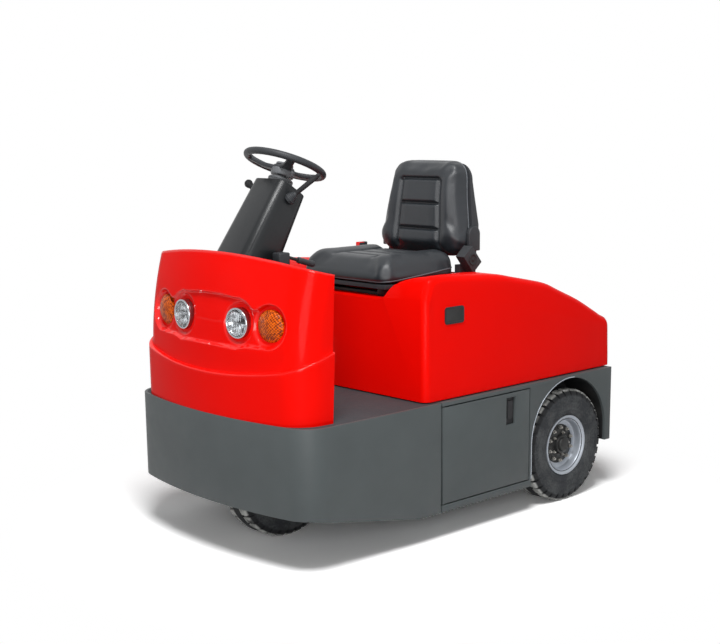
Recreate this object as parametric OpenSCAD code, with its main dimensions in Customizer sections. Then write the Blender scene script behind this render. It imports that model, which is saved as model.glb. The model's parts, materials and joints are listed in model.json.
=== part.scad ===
// Three-wheel sit-on electric tow tractor: front faces -Y, the driver's left is +X, floor at z = 0.

/* [Overall] */
// Length over the bumper and the tow coupler
overall_l = 1800; // [1780:5:1820]
// Reach of the tow coupler behind the rear plate
coupler_reach = 70; // [65:1:80]
// Width over the side plates
body_w = 1020; // [1010:1:1040]
// Height of the foot deck over the tops of the tyres
deck_rise = 61; // [59:1:70]
// Gap round a piece that moves
run_gap = 5; // [5:0.5:7]

/* [Wheels] */
// Distance from the rear tyres to the outside of the rear plate
tail_gap = 40.5; // [36.5:0.5:45]
// Distance from the bumper to the front axle
front_overhang = 347; // [340:1:352]
// Tyre diameter over the lugs
tyre_d = 465; // [456:1:465]
// Tyre section width
tyre_w = 130; // [120:1:132]
// Rim diameter over the flanges
rim_d = 248; // [240:1:256]
// Rim barrel diameter, where the tyre sits
barrel_d = 216; // [210:1:220]
// Setback of the rear tyres' outer faces from the side plates
tyre_inset = 8; // [7:1:12]
// Lugs on each shoulder of a tyre
lug_count = 34; // [28:2:38]
// Axle spindle diameter
spindle_d = 50; // [44:1:56]
// Wheel nuts on a rear hub
nut_count = 6; // [5:1:8]

/* [Chassis] */
// Plate thickness of the skirt and the side plates
plate_t = 12; // [10:1:14]
// Radius of the bowed bumper
bumper_bow_r = 2000; // [1800:50:2400]
// Corner radius of the bumper
bumper_corner_r = 110; // [90:5:130]
// Height of the lower edge under the bumper
bumper_low_z = 203; // [190:1:215]
// Height of the lower edge of the sills
sill_z = 108; // [100:1:116]
// Height of the lower edge of the rear plate
rear_low_z = 216; // [205:1:230]
// Gap between a rear tyre and the sides of its arch
arch_gap = 5.5; // [5.5:0.5:6.5]
// Distance from the bumper to the battery bay
bay_offset = 707; // [700:1:712]
// Battery height
battery_h = 580; // [500:5:640]
// Gap from the outside of the side plates to the battery
battery_gap = 95; // [80:5:120]

/* [Battery doors] */
// Thickness of a door
door_t = 20; // [16:1:24]
// Height of the sill under a door
door_sill_h = 27; // [24:1:30]
// Depth of the rail over a door
door_rail_h = 14; // [12:1:16]
// Hinge pin diameter
hinge_pin_d = 10; // [8:1:12]
// Width and height of the latch slot
latch_w = 54; // [46:1:60]
latch_h = 108; // [96:1:120]

/* [Front cowl] */
// Width of the cowl
cowl_w = 930; // [916:2:940]
// Height of the cowl's crest above the deck
cowl_h = 570; // [560:1:576]
// Depth of the cowl from its nose to its rear edge at the deck
cowl_depth = 202; // [196:1:210]
// Backward lean of the cowl's rear edge
cowl_rear_lean = 2.7; // [1:0.1:4]
// Setback of the cowl's band from the bumper
cowl_setback = 3; // [2:1:8]
// Step between the lower band and the upper face
band_step = 17; // [14:1:20]
// Flare of the lower band past the face's sides
band_flare = 10; // [6:1:12]
// Height of the band's edge above the deck, in the middle
band_h = 151; // [140:1:160]
// Wall of the cowl
cowl_wall = 8; // [6:0.5:9]
// Bow radius of the cowl's face
cowl_bow_r = 1700; // [1500:50:2000]
// Corner radius of the cowl
cowl_corner_r = 115; // [105:5:130]
// Depth of the lamp mask
mask_depth = 12; // [9:0.5:14]
// Depth of the round cups in the mask
cup_depth = 9; // [6:0.5:10]

/* [Lamps] */
// Height of the lamps' centres above the deck
lamp_h = 331; // [325:1:336]
// Headlamp diameter
headlamp_d = 110; // [100:1:114]
// Indicator diameter
indicator_d = 114; // [104:1:118]
// Distance between the headlamps
headlamp_pitch = 324; // [318:1:332]
// Distance between the indicators
indicator_pitch = 622; // [612:1:628]

/* [Hood] */
// Setback of the hood's sides from the side plates
hood_inset = 22; // [20:1:28]
// Rounding of the hood's edges
hood_edge_r = 30; // [25:1:40]
// Wall of the hood
hood_wall = 5; // [4:0.5:6]
// Height of the seat platform above the deck
platform_h = 365; // [360:1:369]
// Length of the seat recess
recess_l = 605; // [590:5:640]
// Hinge opening height over the deck
hinge_rise = 12; // [10:1:14]

/* [Seat] */
// Cushion width
seat_w = 504; // [490:2:516]
// Cushion depth
seat_d = 406; // [395:1:420]
// Cushion height
cushion_h = 84; // [74:1:94]
// Setback of the backrest's sides from the cushion's
backrest_in = 24; // [20:1:32]
// Backrest height
backrest_h = 388; // [370:2:400]
// Narrowing of the backrest towards its top, on each side
backrest_taper = 36; // [20:1:44]
// Backward lean of the backrest
backrest_lean = 9; // [4:0.5:12]
// Backrest pad thickness
backrest_t = 66; // [56:1:72]
// Height of the seat slides
rail_h = 31; // [26:1:36]
// Thickness of the seat pan
pan_t = 16; // [12:1:20]

/* [Steering] */
// Height of the steering wheel's centre above the deck
steer_h = 861; // [855:1:868]
// Distance from the bumper to the steering wheel's centre
steer_offset = 405; // [398:1:410]
// Lean of the steering column from upright
column_lean = 33; // [31:0.5:35]
// Lean of the steering wheel's axis from upright
wheel_lean = 22; // [20:0.5:24]
// Steering wheel diameter
wheel_d = 312; // [300:2:320]
// Diameter of the steering wheel's grip
grip_d = 26; // [22:1:28]
// Width of the column cover at its foot
column_w = 188; // [182:1:192]

/* [Coupler] */
// Tow pin diameter
tow_pin_d = 28; // [24:1:32]
// Clearance round the tow pin
tow_clear = 0.3; // [0.3:0.1:1]
// Clear height between the coupler's jaws
jaw_gap = 76; // [70:1:80]
// Thickness of a jaw
jaw_t = 14; // [12:1:16]
// Lashing hole diameter
lashing_d = 36; // [30:1:40]

/* [Hidden] */
$fn = 64;
nose_y = -overall_l / 2;
tail_y = overall_l / 2;
chassis_l = overall_l - coupler_reach;
rear_y = nose_y + chassis_l;
half_w = body_w / 2;
front_axle_y = nose_y + front_overhang;
rear_axle_y = rear_y - tail_gap - tyre_d / 2;
axle_z = tyre_d / 2;
wheel_x = half_w - tyre_inset - tyre_w / 2;
deck_z = tyre_d + deck_rise;
fit = 0.3;

// Bearing and fork
deck_t = 12;
deck_low = deck_z - deck_t;
bearing_h = 21;
crown_t = 18;
crown_top = deck_low - bearing_h - 1;
crown_r = 130;
race_r = 100;
arm_t = 14;
arm_gap = 12;
arm_in = tyre_w / 2 + arm_gap;
fork_pin_d = 30;

// Battery bay and doors
arch_r = tyre_d / 2 + arch_gap;
bulkhead_gap = 14;
bay_y = nose_y + bay_offset;
bay_end = rear_axle_y - arch_r - bulkhead_gap;
bulkhead_t = 6;
floor_t = 10;
flange_t = 6;
flange_w = 30;
door_y0 = bay_y + 3;
door_y1 = bay_end - run_gap;
door_z0 = sill_z + door_sill_h + run_gap;
door_z1 = deck_z - door_rail_h - run_gap;
door_axis_y = door_y0 + 10;
door_axis_x = half_w - 10;
pin_in_door = 15;
skirt_end = door_y0 - 10;
latch_y = door_y1 - 110;
latch_z = deck_z - 90;
latch_deep = 13;
battery_w = body_w - 2 * battery_gap;

// Arch
arch_z = deck_z - arch_r - 11;
liner_t = 4;
liner_in = wheel_x - tyre_w / 2 - 25;

// Axle
rail_x = 220;
rail_w = 40;
rail_z0 = axle_z + 97.5;
rail_z1 = rail_z0 + 62;
tube_r = 45;
tube_end = liner_in - 6;

// Cowl
band_nose_y = nose_y + cowl_setback;
face_nose_y = band_nose_y + band_step;
cowl_rear_y = band_nose_y + cowl_depth;
cowl_half = cowl_w / 2;
cowl_top_z = deck_z + cowl_h;
band_z = deck_z + band_h;
lamp_z = deck_z + lamp_h;
cup_r = 72;
crest_r = 3700;
crest_fall = 12;
crease_r = 3850;
crease_rise = 17;

// Dash console
dash_z = cowl_top_z - 70;
dash_y = cowl_rear_y - 12;

// Lean of the cowl's face: columns are the height above the deck where it starts and the angle
LEAN = [
    [74, 0],
    [250, 7],
    [330, 15],
    [400, 23]
];

// Hood: its side outline from the foot of the front face, as distances behind that face and heights above
// the deck, stretched to reach from the battery bay to the rear plate
hood_z = deck_z + run_gap;
hood_w = body_w - 2 * hood_inset;
platform_z = deck_z + platform_h;
hood_lead = 67;
hood_lap = 22;
hood_front_y = bay_y - hood_lead;
hood_rear_y = rear_y + hood_lap;
HOOD_LINE = [
    [0, -126], [0, 374], [10, 408], [20, 436], [31, 452], [44, 460], [62, 464], [110, 465],
    [276, 454], [409, 442], [502, 424], [598, 405], [696, 383], [788, 346],
    [893, 300], [1001, 245], [1057, 213], [1076, 198], [1087, 180], [1094, 144],
    [1099, 94], [1102, 34], [1102, -126]
];
hood_stretch = (hood_rear_y - hood_front_y) / HOOD_LINE[len(HOOD_LINE) - 1][0];
hood_side = [for (p = HOOD_LINE) [hood_front_y + p[0] * hood_stretch, deck_z + p[1]]];
// Right half of the seat recess, from its floor up: distance from the middle and height over the platform
RECESS_LINE = [
    [240, 0], [256, 4], [268, 10], [277, 20], [287, 34], [297, 45], [310, 56], [327, 65],
    [350, 75], [380, 84], [415, 92], [461, 100], [470, 160]
];
recess_rear_y = hood_front_y + recess_l;
hood_axis_y = hood_rear_y + 10;
hood_axis_z = hood_z + hinge_rise;
knuckle_r = 8;
hood_pin_d = 8;
hinge_x = 300;
knuckle_l = 40;
tail_lamp_r = 44;
tail_lamp_x = hood_w / 2 - 115;
tail_lamp_z = hood_z + 92;
tail_lamp_sunk = 20;

// Seat
pan_z = platform_z + rail_h;
cushion_z = pan_z + pan_t;
seat_y = hood_front_y + 25;
backrest_w = seat_w - 2 * backrest_in;
backrest_y = seat_y + seat_d + 8;
backrest_z = cushion_z + 66;

// Steering
steer_y = nose_y + steer_offset;
steer_z = deck_z + steer_h;
column_top = 84;
column_l = 345;
column_top_w = 176;
collar_h = 22;
hub_h = 46;

// Coupler
coupler_t = 16;
coupler_y = rear_y + coupler_t;
jaw_r = 32;
tow_pin_y = tail_y - jaw_r;
jaw_z = 252;
tow_pin_r = tow_pin_d / 2;
jaw_top = jaw_z + 3 * jaw_t + 2 * jaw_gap;

RED = [0.82, 0.03, 0.02];
GREY = [0.33, 0.35, 0.36];
BLACK = [0.11, 0.11, 0.12];
VINYL = [0.2, 0.21, 0.22];
SILVER = [0.6, 0.62, 0.65];
STEEL = [0.5, 0.5, 0.52];

// Points on an arc from angle a0 to a1
function arc(c, r, a0, a1, n) = [for (i = [0:n]) c + r * [cos(a0 + (a1 - a0) * i / n), sin(a0 + (a1 - a0) * i / n)]];
function without_first(p) = [for (i = [1:len(p) - 1]) p[i]];
function mirrored(p) = [for (i = [len(p) - 1:-1:0]) [-p[i][0], p[i][1]]];

// Plan outline with a bowed front and round corners
function bowed_plan(half, nose, bow_r, corner_r, back) =
    let (centre = [0, nose + bow_r],
         cx = half - corner_r,
         cy = nose + bow_r - sqrt(pow(bow_r - corner_r, 2) - cx * cx),
         turn = asin(cx / (bow_r - corner_r)),
         bow = without_first(arc(centre, bow_r, -90, -90 + turn, 10)),
         corner = without_first(arc([cx, cy], corner_r, -90 + turn, 0, 10)),
         side = concat(bow, corner, [[half, back]]))
    concat([[0, nose]], side, mirrored(side));

function skirt_plan(inset, back) =
    bowed_plan(half_w - inset, nose_y + inset, bumper_bow_r - inset, bumper_corner_r - inset, back);

function cowl_plan(nose, inset, back) =
    bowed_plan(cowl_half - inset, nose + inset, cowl_bow_r - inset, cowl_corner_r - inset, back);

// A y-z outline drawn out along x
module along_x(length) {
    rotate([90, 0, 90]) linear_extrude(length, center = true) children();
}

// An x-z outline drawn out along y from y0 to y1
module along_y(y0, y1) {
    translate([0, y1, 0]) rotate([90, 0, 0]) linear_extrude(y1 - y0) children();
}

module box(x0, x1, y0, y1, z0, z1) {
    translate([x0, y0, z0]) cube([x1 - x0, y1 - y0, z1 - z0]);
}

module both_sides() {
    children();
    mirror([1, 0, 0]) children();
}

// A rod along x from x0 to x1
module rod_x(x0, x1, r) {
    translate([x0, 0, 0]) rotate([0, 90, 0]) cylinder(r = r, h = x1 - x0);
}

module rounded_plate(w, d, r) {
    union() {
        square([w - 2 * r, d], center = true);
        square([w, d - 2 * r], center = true);
        for (sx = [-1, 1], sy = [-1, 1]) translate([sx * (w / 2 - r), sy * (d / 2 - r)]) circle(r = r, $fn = 32);
    }
}

// Cushion block: plan w by d, height h, round plan corners, a round upper edge, narrower by taper at +d
module soft_block(w, d, h, plan_r, edge_r, taper) {
    hull() for (sx = [-1, 1], sy = [-1, 1])
        translate([sx * (w / 2 - plan_r - max(sy, 0) * taper), sy * (d / 2 - plan_r), 0])
        rotate_extrude($fn = 32) union() {
            square([plan_r - edge_r, h]);
            translate([0, edge_r / 2]) square([plan_r, h - 1.5 * edge_r]);
            square([plan_r - edge_r / 2, h / 2]);
            translate([plan_r - edge_r, h - edge_r]) circle(r = edge_r, $fn = 24);
        }
}

// Chassis
module front_skirt() {
    slope_y0 = nose_y + 85;
    slope_y1 = nose_y + 590;
    color(GREY) difference() {
        translate([0, 0, sill_z]) linear_extrude(deck_z - sill_z) difference() {
            polygon(skirt_plan(0, skirt_end));
            polygon(skirt_plan(plate_t, skirt_end + 1));
        }
        along_x(body_w + 20) polygon([
            [nose_y - 10, sill_z - 10], [slope_y1, sill_z - 10], [slope_y1, sill_z],
            [slope_y0, bumper_low_z], [nose_y - 10, bumper_low_z]
        ]);
    }
}

module foot_deck() {
    color(GREY) translate([0, 0, deck_low]) linear_extrude(deck_t) polygon(skirt_plan(plate_t, bay_y));
}

module arch_shape(r) {
    union() {
        translate([rear_axle_y, arch_z]) circle(r = r, $fn = 96);
        translate([rear_axle_y - r, 0]) square([2 * r, arch_z]);
    }
}

// Bracket with the pin that carries one of the hood's knuckles
module hinge_bracket() {
    x0 = hinge_x + 3;
    x1 = x0 + knuckle_l;
    union() {
        box(x0, x1, rear_y - 1, hood_axis_y + knuckle_r, deck_z - 22, deck_z);
        box(x0, x1, hood_axis_y - knuckle_r, hood_axis_y + knuckle_r, deck_z - 22, hood_axis_z);
        translate([0, hood_axis_y, hood_axis_z]) {
            rod_x(x0, x1, knuckle_r);
            rod_x(hinge_x - knuckle_l - 4, x1 - 1, hood_pin_d / 2);
        }
    }
}

module main_frame() {
    color(GREY) difference() {
        union() {
            both_sides() {
                difference() {
                    translate([half_w - plate_t / 2, 0, 0]) along_x(plate_t)
                        polygon([
                            [bay_end, sill_z], [bay_end + plate_t, sill_z], [bay_end + plate_t, rear_low_z],
                            [rear_y, rear_low_z], [rear_y, deck_z], [bay_end, deck_z]
                        ]);
                    translate([half_w, 0, 0]) along_x(4 * plate_t) arch_shape(arch_r);
                }
                box(half_w - 40, half_w, bay_y, bay_end + 1, sill_z, sill_z + door_sill_h);
                box(half_w - 40, half_w, bay_y, bay_end + 1, deck_z - door_rail_h, deck_z);
                box(half_w - plate_t - flange_w, half_w - plate_t + 1, bay_end, rear_y - 1, deck_z - flange_t, deck_z);
                box(rail_x - rail_w / 2, rail_x + rail_w / 2, bay_end, rear_y - 1, rail_z0, rail_z1);
                translate([door_axis_x, door_axis_y, 0]) {
                    translate([0, 0, sill_z + 1])
                        cylinder(d = hinge_pin_d, h = door_sill_h + run_gap + pin_in_door - 1);
                    translate([0, 0, door_z1 - pin_in_door])
                        cylinder(d = hinge_pin_d, h = pin_in_door + run_gap + door_rail_h - 1);
                }
            }
            both_sides() hinge_bracket();
            box(-half_w + 30, half_w - 30, bay_y, bay_end + 1, sill_z, sill_z + floor_t);
            box(-half_w + 30, half_w - 30, bay_y, bay_y + bulkhead_t, sill_z, deck_z);
            box(-half_w + 1, half_w - 1, bay_end, bay_end + bulkhead_t, sill_z, deck_z);
            box(-half_w, half_w, rear_y - plate_t, rear_y, rear_low_z, deck_z);
        }
        both_sides() translate([half_w - 90, rear_y + 1, rear_low_z + 48]) rotate([90, 0, 0])
            cylinder(d = lashing_d, h = plate_t + 2);
    }
}

module arch_liners() {
    color(BLACK) both_sides() union() {
        translate([(liner_in + half_w - plate_t) / 2, 0, 0]) along_x(half_w - plate_t - liner_in)
            difference() {
                arch_shape(arch_r + liner_t);
                arch_shape(arch_r);
                translate([rear_axle_y - arch_r - 20, -1]) square([2 * arch_r + 40, rear_low_z + 1]);
            }
        translate([liner_in - liner_t / 2, 0, 0]) along_x(liner_t) difference() {
            arch_shape(arch_r + liner_t);
            translate([rear_axle_y - arch_r - 20, -1]) square([2 * arch_r + 40, axle_z + 70]);
        }
    }
}

module battery() {
    gap = 15;
    color(BLACK) box(-battery_w / 2, battery_w / 2, bay_y + bulkhead_t + gap, bay_end - gap, sill_z + floor_t,
        sill_z + floor_t + battery_h);
}

module drive_axle() {
    casing_r = 105;
    motor_r = 92;
    color(BLACK) union() {
        translate([0, rear_axle_y, axle_z]) {
            rod_x(-tube_end, tube_end, tube_r);
            rod_x(-wheel_x - 20, wheel_x + 20, spindle_d / 2);
            rod_x(-70, 70, casing_r);
            both_sides() rod_x(tube_end - 12, tube_end, 72);
            translate([0, 0, 20]) rotate([90, 0, 0]) cylinder(r = motor_r, h = rear_axle_y - bay_end - 20);
        }
        both_sides() box(rail_x - rail_w / 2, rail_x + rail_w / 2, rear_axle_y - 42, rear_axle_y + 42, axle_z,
            rail_z0);
    }
}

module jaw_outline() {
    union() {
        translate([0, tow_pin_y]) circle(r = jaw_r);
        translate([-jaw_r, coupler_y]) square([2 * jaw_r, tow_pin_y - coupler_y]);
    }
}

module tow_coupler() {
    base_half = 95;
    color(BLACK) difference() {
        union() {
            box(-base_half, base_half, rear_y, coupler_y, jaw_z - 20, jaw_top + 16);
            for (level = [0:2]) translate([0, 0, jaw_z + level * (jaw_gap + jaw_t)]) linear_extrude(jaw_t)
                jaw_outline();
        }
        translate([0, tow_pin_y, jaw_z - 1]) cylinder(r = tow_pin_r + tow_clear, h = jaw_top - jaw_z + 2);
    }
}

module tow_pin() {
    ring_r = 20;
    wire_r = 4;
    collar_r = tow_pin_r + 6;
    color(STEEL) translate([0, tow_pin_y, 0]) union() {
        translate([0, 0, jaw_z - 16]) cylinder(r = tow_pin_r, h = jaw_top - jaw_z + 30);
        translate([0, 0, jaw_top]) cylinder(r = collar_r, h = 14);
        translate([0, 0, jaw_top + 13 + ring_r]) rotate([90, 0, 0]) rotate_extrude($fn = 48)
            translate([ring_r, 0]) circle(r = wire_r, $fn = 24);
    }
}

module steering_bearing() {
    color(BLACK) translate([0, front_axle_y, crown_top + 1]) difference() {
        cylinder(r = crown_r + 12, h = bearing_h);
        translate([0, 0, -1]) cylinder(r = race_r + fit, h = bearing_h + 2);
    }
}

// Solid inside the cowl's leaning face, drawn in by inset
module cowl_body(inset) {
    back = cowl_rear_y + 280;
    reach = 700;
    intersection_for (step = LEAN)
        translate([0, face_nose_y, deck_z + step[0]]) rotate([-step[1], 0, 0])
            translate([0, -face_nose_y, -reach]) linear_extrude(2 * reach)
            polygon(cowl_plan(face_nose_y, inset, back));
}

// Lower band, proud of the face and cut off along the rising crease
module cowl_band() {
    intersection() {
        linear_extrude(cowl_top_z) polygon(cowl_plan(band_nose_y + band_flare, -band_flare, cowl_rear_y + 60));
        difference() {
            box(-cowl_w, cowl_w, nose_y - 50, nose_y + 400, 0, cowl_top_z);
            translate([0, band_nose_y, band_z]) rotate([crease_rise, 0, 0]) translate([0, 0, crease_r])
                rotate([90, 0, 0]) cylinder(r = crease_r, h = 1600, center = true, $fn = 256);
        }
    }
}

// Lamp mask seen from the front
module mask_outline(grow) {
    headlamp_r = 83 + grow;
    indicator_r = 74 + grow;
    lip = 93 + grow;
    union() {
        for (s = [-1, 1]) {
            translate([s * headlamp_pitch / 2, lamp_z]) circle(r = headlamp_r);
            translate([s * indicator_pitch / 2, lamp_z]) circle(r = indicator_r);
            translate([s * (headlamp_pitch + indicator_pitch) / 4, lamp_z - 12])
                square([80, 124 + 2 * grow], center = true);
        }
        translate([-headlamp_pitch / 2, lamp_z - headlamp_r]) square([headlamp_pitch, headlamp_r]);
        intersection() {
            translate([0, lamp_z + lip - 1150]) circle(r = 1150, $fn = 200);
            translate([-headlamp_pitch / 2, lamp_z - 5]) square([headlamp_pitch, lip + 5]);
        }
    }
}

// Round cups about the lamps, seen from the front
module cup_outline() {
    for (x = [headlamp_pitch, indicator_pitch] / 2, s = [-1, 1]) translate([s * x, lamp_z]) circle(r = cup_r);
}

module lamp_places(pitch) {
    for (s = [-1, 1]) translate([s * pitch / 2, face_nose_y, lamp_z]) children();
}

module front_cowl() {
    mask_y0 = nose_y - 20;
    mask_y1 = nose_y + 200;
    color(RED) difference() {
        union() {
            cowl_body(0);
            cowl_band();
        }
        difference() {
            along_y(mask_y0, mask_y1) mask_outline(0);
            cowl_body(mask_depth);
        }
        difference() {
            cowl_body(cowl_wall);
            along_y(mask_y0, mask_y1) mask_outline(cowl_wall);
        }
        difference() {
            along_y(mask_y0, mask_y1) cup_outline();
            cowl_body(mask_depth + cup_depth);
        }
        cowl_body(cowl_wall + mask_depth + cup_depth);
        lamp_places(headlamp_pitch) rotate([90, 0, 0])
            cylinder(d = headlamp_d + 2 * fit, h = 2 * cowl_depth, center = true);
        lamp_places(indicator_pitch) rotate([90, 0, 0])
            cylinder(d = indicator_d + 2 * fit, h = 2 * cowl_depth, center = true);
        translate([0, cowl_rear_y, deck_z]) rotate([-cowl_rear_lean, 0, 0])
            box(-cowl_w, cowl_w, 0, 1000, -deck_z, 2 * cowl_h);
        box(-cowl_w, cowl_w, nose_y - 400, nose_y + 1200, -400, deck_z);
        difference() {
            box(-cowl_w, cowl_w, nose_y - 400, nose_y + 1200, cowl_top_z - 200, 3000);
            translate([0, face_nose_y + 55, cowl_top_z]) rotate([-crest_fall, 0, 0]) translate([0, 0, -crest_r])
                rotate([90, 0, 0]) cylinder(r = crest_r, h = 1600, center = true, $fn = 256);
        }
    }
}

module dash_console() {
    front_y = nose_y + 122;
    nose_in = 295;
    nose_half = cowl_half - nose_in;
    color(BLACK) intersection() {
        union() {
            along_x(cowl_w) polygon([
                [front_y, deck_z], [dash_y, deck_z], [dash_y, dash_z - 30], [dash_y - 40, dash_z],
                [front_y - 24, dash_z], [front_y - 24, lamp_z + 80], [front_y, lamp_z + 70]
            ]);
            along_x(2 * nose_half) polygon([
                [dash_y - 20, deck_z], [dash_y + 10, deck_z], [dash_y + 118, dash_z - 80], [dash_y + 110, dash_z],
                [dash_y - 60, dash_z]
            ]);
        }
        cowl_body(cowl_wall + mask_depth + cup_depth + fit);
    }
}

// Lamps, each drawn with its face towards the front
module headlamp_bodies() {
    bezel_t = 9;
    bezel_h = 8;
    setback = 18;
    body_l = 70;
    bowl = 30;
    edge = 3;
    color(SILVER) lamp_places(headlamp_pitch) translate([0, setback, 0]) rotate([-90, 0, 0]) rotate_extrude()
        polygon([
            [0, bowl], [headlamp_d / 2 - bezel_t, bezel_h], [headlamp_d / 2 - bezel_t, 0],
            [headlamp_d / 2 - edge, 0], [headlamp_d / 2, edge], [headlamp_d / 2, body_l], [0, body_l]
        ]);
}

module headlamp_lenses() {
    lens_r = headlamp_d / 2 - 9 - fit;
    setback = 18;
    color([0.85, 0.9, 0.92]) lamp_places(headlamp_pitch) translate([0, setback, 0]) rotate([-90, 0, 0])
        rotate_extrude() intersection() {
            translate([0, 195]) circle(r = 200, $fn = 200);
            translate([0, -10]) square([lens_r, 16]);
        }
}

module indicator_lenses() {
    dome_r = 120;
    rim_r = indicator_d / 2;
    rise = dome_r - sqrt(dome_r * dome_r - rim_r * rim_r);
    setback = 30;
    body_l = 50;
    color([0.9, 0.45, 0.1]) lamp_places(indicator_pitch) translate([0, setback, 0]) rotate([-90, 0, 0])
        rotate_extrude() union() {
            intersection() {
                translate([0, dome_r]) circle(r = dome_r, $fn = 160);
                square([rim_r, rise + 1]);
            }
            translate([0, rise]) square([rim_r, body_l]);
        }
}

// Steering column, drawn on its own axis
module on_column() {
    translate([0, steer_y, steer_z]) rotate([-column_lean, 0, 0]) children();
}

// Steering wheel's shaft, drawn on its own axis
module on_shaft() {
    translate([0, steer_y, steer_z]) rotate([-wheel_lean, 0, 0]) children();
}

module column_cover() {
    color(BLACK) difference() {
        on_column() hull() {
            translate([0, 23, -column_top - 2]) linear_extrude(2) rounded_plate(column_top_w, 134, 34);
            translate([0, 27, -column_top - column_l]) linear_extrude(2) rounded_plate(column_w, 176, 36);
        }
        box(-column_w, column_w, nose_y, steer_y + column_l, 0, dash_z);
    }
}

module column_collar() {
    shaft_r = 15;
    sunk = 20;
    color(BLACK) difference() {
        on_shaft() translate([0, 0, -column_top - sunk]) union() {
            cylinder(r = 46, h = collar_h + sunk);
            cylinder(r = shaft_r, h = column_top + sunk - 30);
        }
        on_column() box(-column_w, column_w, -column_l, column_l, -column_l, -column_top);
    }
}

// Levers beside the column: columns are side, lever length, knob radius, lean outwards and turn to the rear
LEVERS = [
    [1, 130, 8, 42, 2],
    [-1, 68, 16, 62, -30]
];
module column_levers() {
    boot_r = 22;
    boot_drop = 40;
    boot_x = column_top_w / 2 + 3;
    boot_y = 20;
    boot_l = 36;
    rod_r = 7;
    boot_z = -column_top - boot_drop;
    side_x = column_top_w / 2 + (column_w - column_top_w) / 2 * (boot_drop + boot_r) / column_l + fit;
    color(BLACK) on_column() for (lever = LEVERS) difference() {
        translate([lever[0] * boot_x, boot_y, boot_z]) rotate([0, lever[0] * lever[3], lever[0] * lever[4]]) union() {
            translate([0, 0, -boot_y]) cylinder(r = boot_r, h = boot_l);
            cylinder(r = rod_r, h = lever[1]);
            translate([0, 0, lever[1]]) sphere(r = lever[2], $fn = 32);
        }
        box(-side_x, side_x, -200, 200, boot_z - 100, boot_z + 100);
    }
}

module parking_brake() {
    block_x = 104;
    block_w = 44;
    block_l = 50;
    block_h = 57;
    block_behind = 45;
    droop = 16;
    rod_rise = 40;
    rod_r = 6;
    grip_r = 12;
    grip_start = 55;
    grip_l = 80;
    block_y = cowl_rear_y + block_behind;
    color(BLACK) union() {
        box(block_x, block_x + block_w, block_y, block_y + block_l, dash_z, dash_z + block_h);
        translate([block_x + block_w / 2, block_y + block_l - 2, dash_z + rod_rise]) rotate([-90 - droop, 0, 0]) {
            cylinder(r = rod_r, h = grip_start + grip_l / 2);
            translate([0, 0, grip_start]) cylinder(r = grip_r, h = grip_l);
        }
    }
}

module stop_button() {
    color(RED) translate([-250, cowl_rear_y - 58, dash_z]) union() {
        cylinder(r = 14, h = 22);
        translate([0, 0, 20]) cylinder(r = 21, h = 16);
    }
}

module key_switch() {
    color(STEEL) translate([230, cowl_rear_y - 58, dash_z]) union() {
        cylinder(r = 15, h = 14);
        box(-2, 2, -11, 11, 10, 34);
    }
}

// Foot pedals: columns are distance from the cowl's right side, pad width and pad length
PEDALS = [
    [250, 84, 74],
    [125, 62, 130]
];
module pedals() {
    pad_t = 12;
    arm_w = 16;
    arm_top = 150;
    arm_foot = 74;
    pad_y = 68;
    pad_z = 78;
    color(BLACK) for (pedal = PEDALS) translate([pedal[0] - cowl_half, dash_y, deck_z]) union() {
        along_x(arm_w) polygon([
            [0, arm_top], [arm_w, arm_top], [pad_y + pad_t, pad_z], [pad_y - pad_t, arm_foot],
            [0, arm_top - arm_w]
        ]);
        translate([0, pad_y, pad_z]) rotate([-42, 0, 0]) cube([pedal[1], pedal[2], pad_t], center = true);
    }
}

// Steering wheel
module steering_wheel() {
    ring_r = (wheel_d - grip_d) / 2;
    color(BLACK) on_shaft() difference() {
        union() {
            rotate_extrude($fn = 96) translate([ring_r, 0]) circle(d = grip_d, $fn = 32);
            translate([0, 0, -hub_h]) cylinder(r = 40, h = hub_h - 6);
            for (a = [90, 210, 330]) rotate([0, 0, a]) translate([30, -17, -24]) cube([ring_r - 30, 34, 16]);
        }
        translate([0, 0, -hub_h - 1]) cylinder(r = 15 + fit, h = hub_h - 12);
    }
}

module horn_cap() {
    color(BLACK) on_shaft() translate([0, 0, -6]) cylinder(r = 30, h = 10);
}

// Front fork and steered wheel
module front_fork() {
    boss_r = 36;
    arm_half = 74;
    color(BLACK) translate([0, front_axle_y, 0]) union() {
        translate([0, 0, crown_top - crown_t]) cylinder(r = crown_r, h = crown_t);
        translate([0, 0, crown_top]) cylinder(r = race_r, h = bearing_h);
        for (s = [-1, 1]) translate([s * (arm_in + arm_t / 2), 0, 0]) along_x(arm_t) union() {
            translate([0, axle_z]) circle(r = boss_r);
            polygon([
                [-boss_r, axle_z], [boss_r, axle_z], [arm_half, crown_top - 80], [arm_half, crown_top - 1],
                [-arm_half, crown_top - 1], [-arm_half, crown_top - 80]
            ]);
        }
        translate([0, 0, axle_z]) rod_x(-arm_in - arm_t - 12, arm_in + arm_t + 12, fork_pin_d / 2);
    }
}

// Half of the tyre's section: columns are radius and distance from the middle plane
function tyre_side() = [
    [barrel_d / 2, tyre_w * 0.4],
    [rim_d / 2 + fit, tyre_w * 0.4],
    [tyre_d * 0.38, tyre_w * 0.5],
    [tyre_d * 0.46, tyre_w * 0.475],
    [tyre_d * 0.5, tyre_w * 0.37]
];

// Gap between two lugs, seen along the tyre's edge: columns are distance from the middle plane and radius
lug_gap = 13;
function lug_groove() = [
    [tyre_w * 0.16, tyre_d * 0.477],
    [tyre_w * 0.38, tyre_d * 0.477],
    [tyre_w * 0.51, tyre_d * 0.428],
    [tyre_w * 0.51, tyre_d * 0.52],
    [tyre_w * 0.16, tyre_d * 0.52]
];

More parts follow.
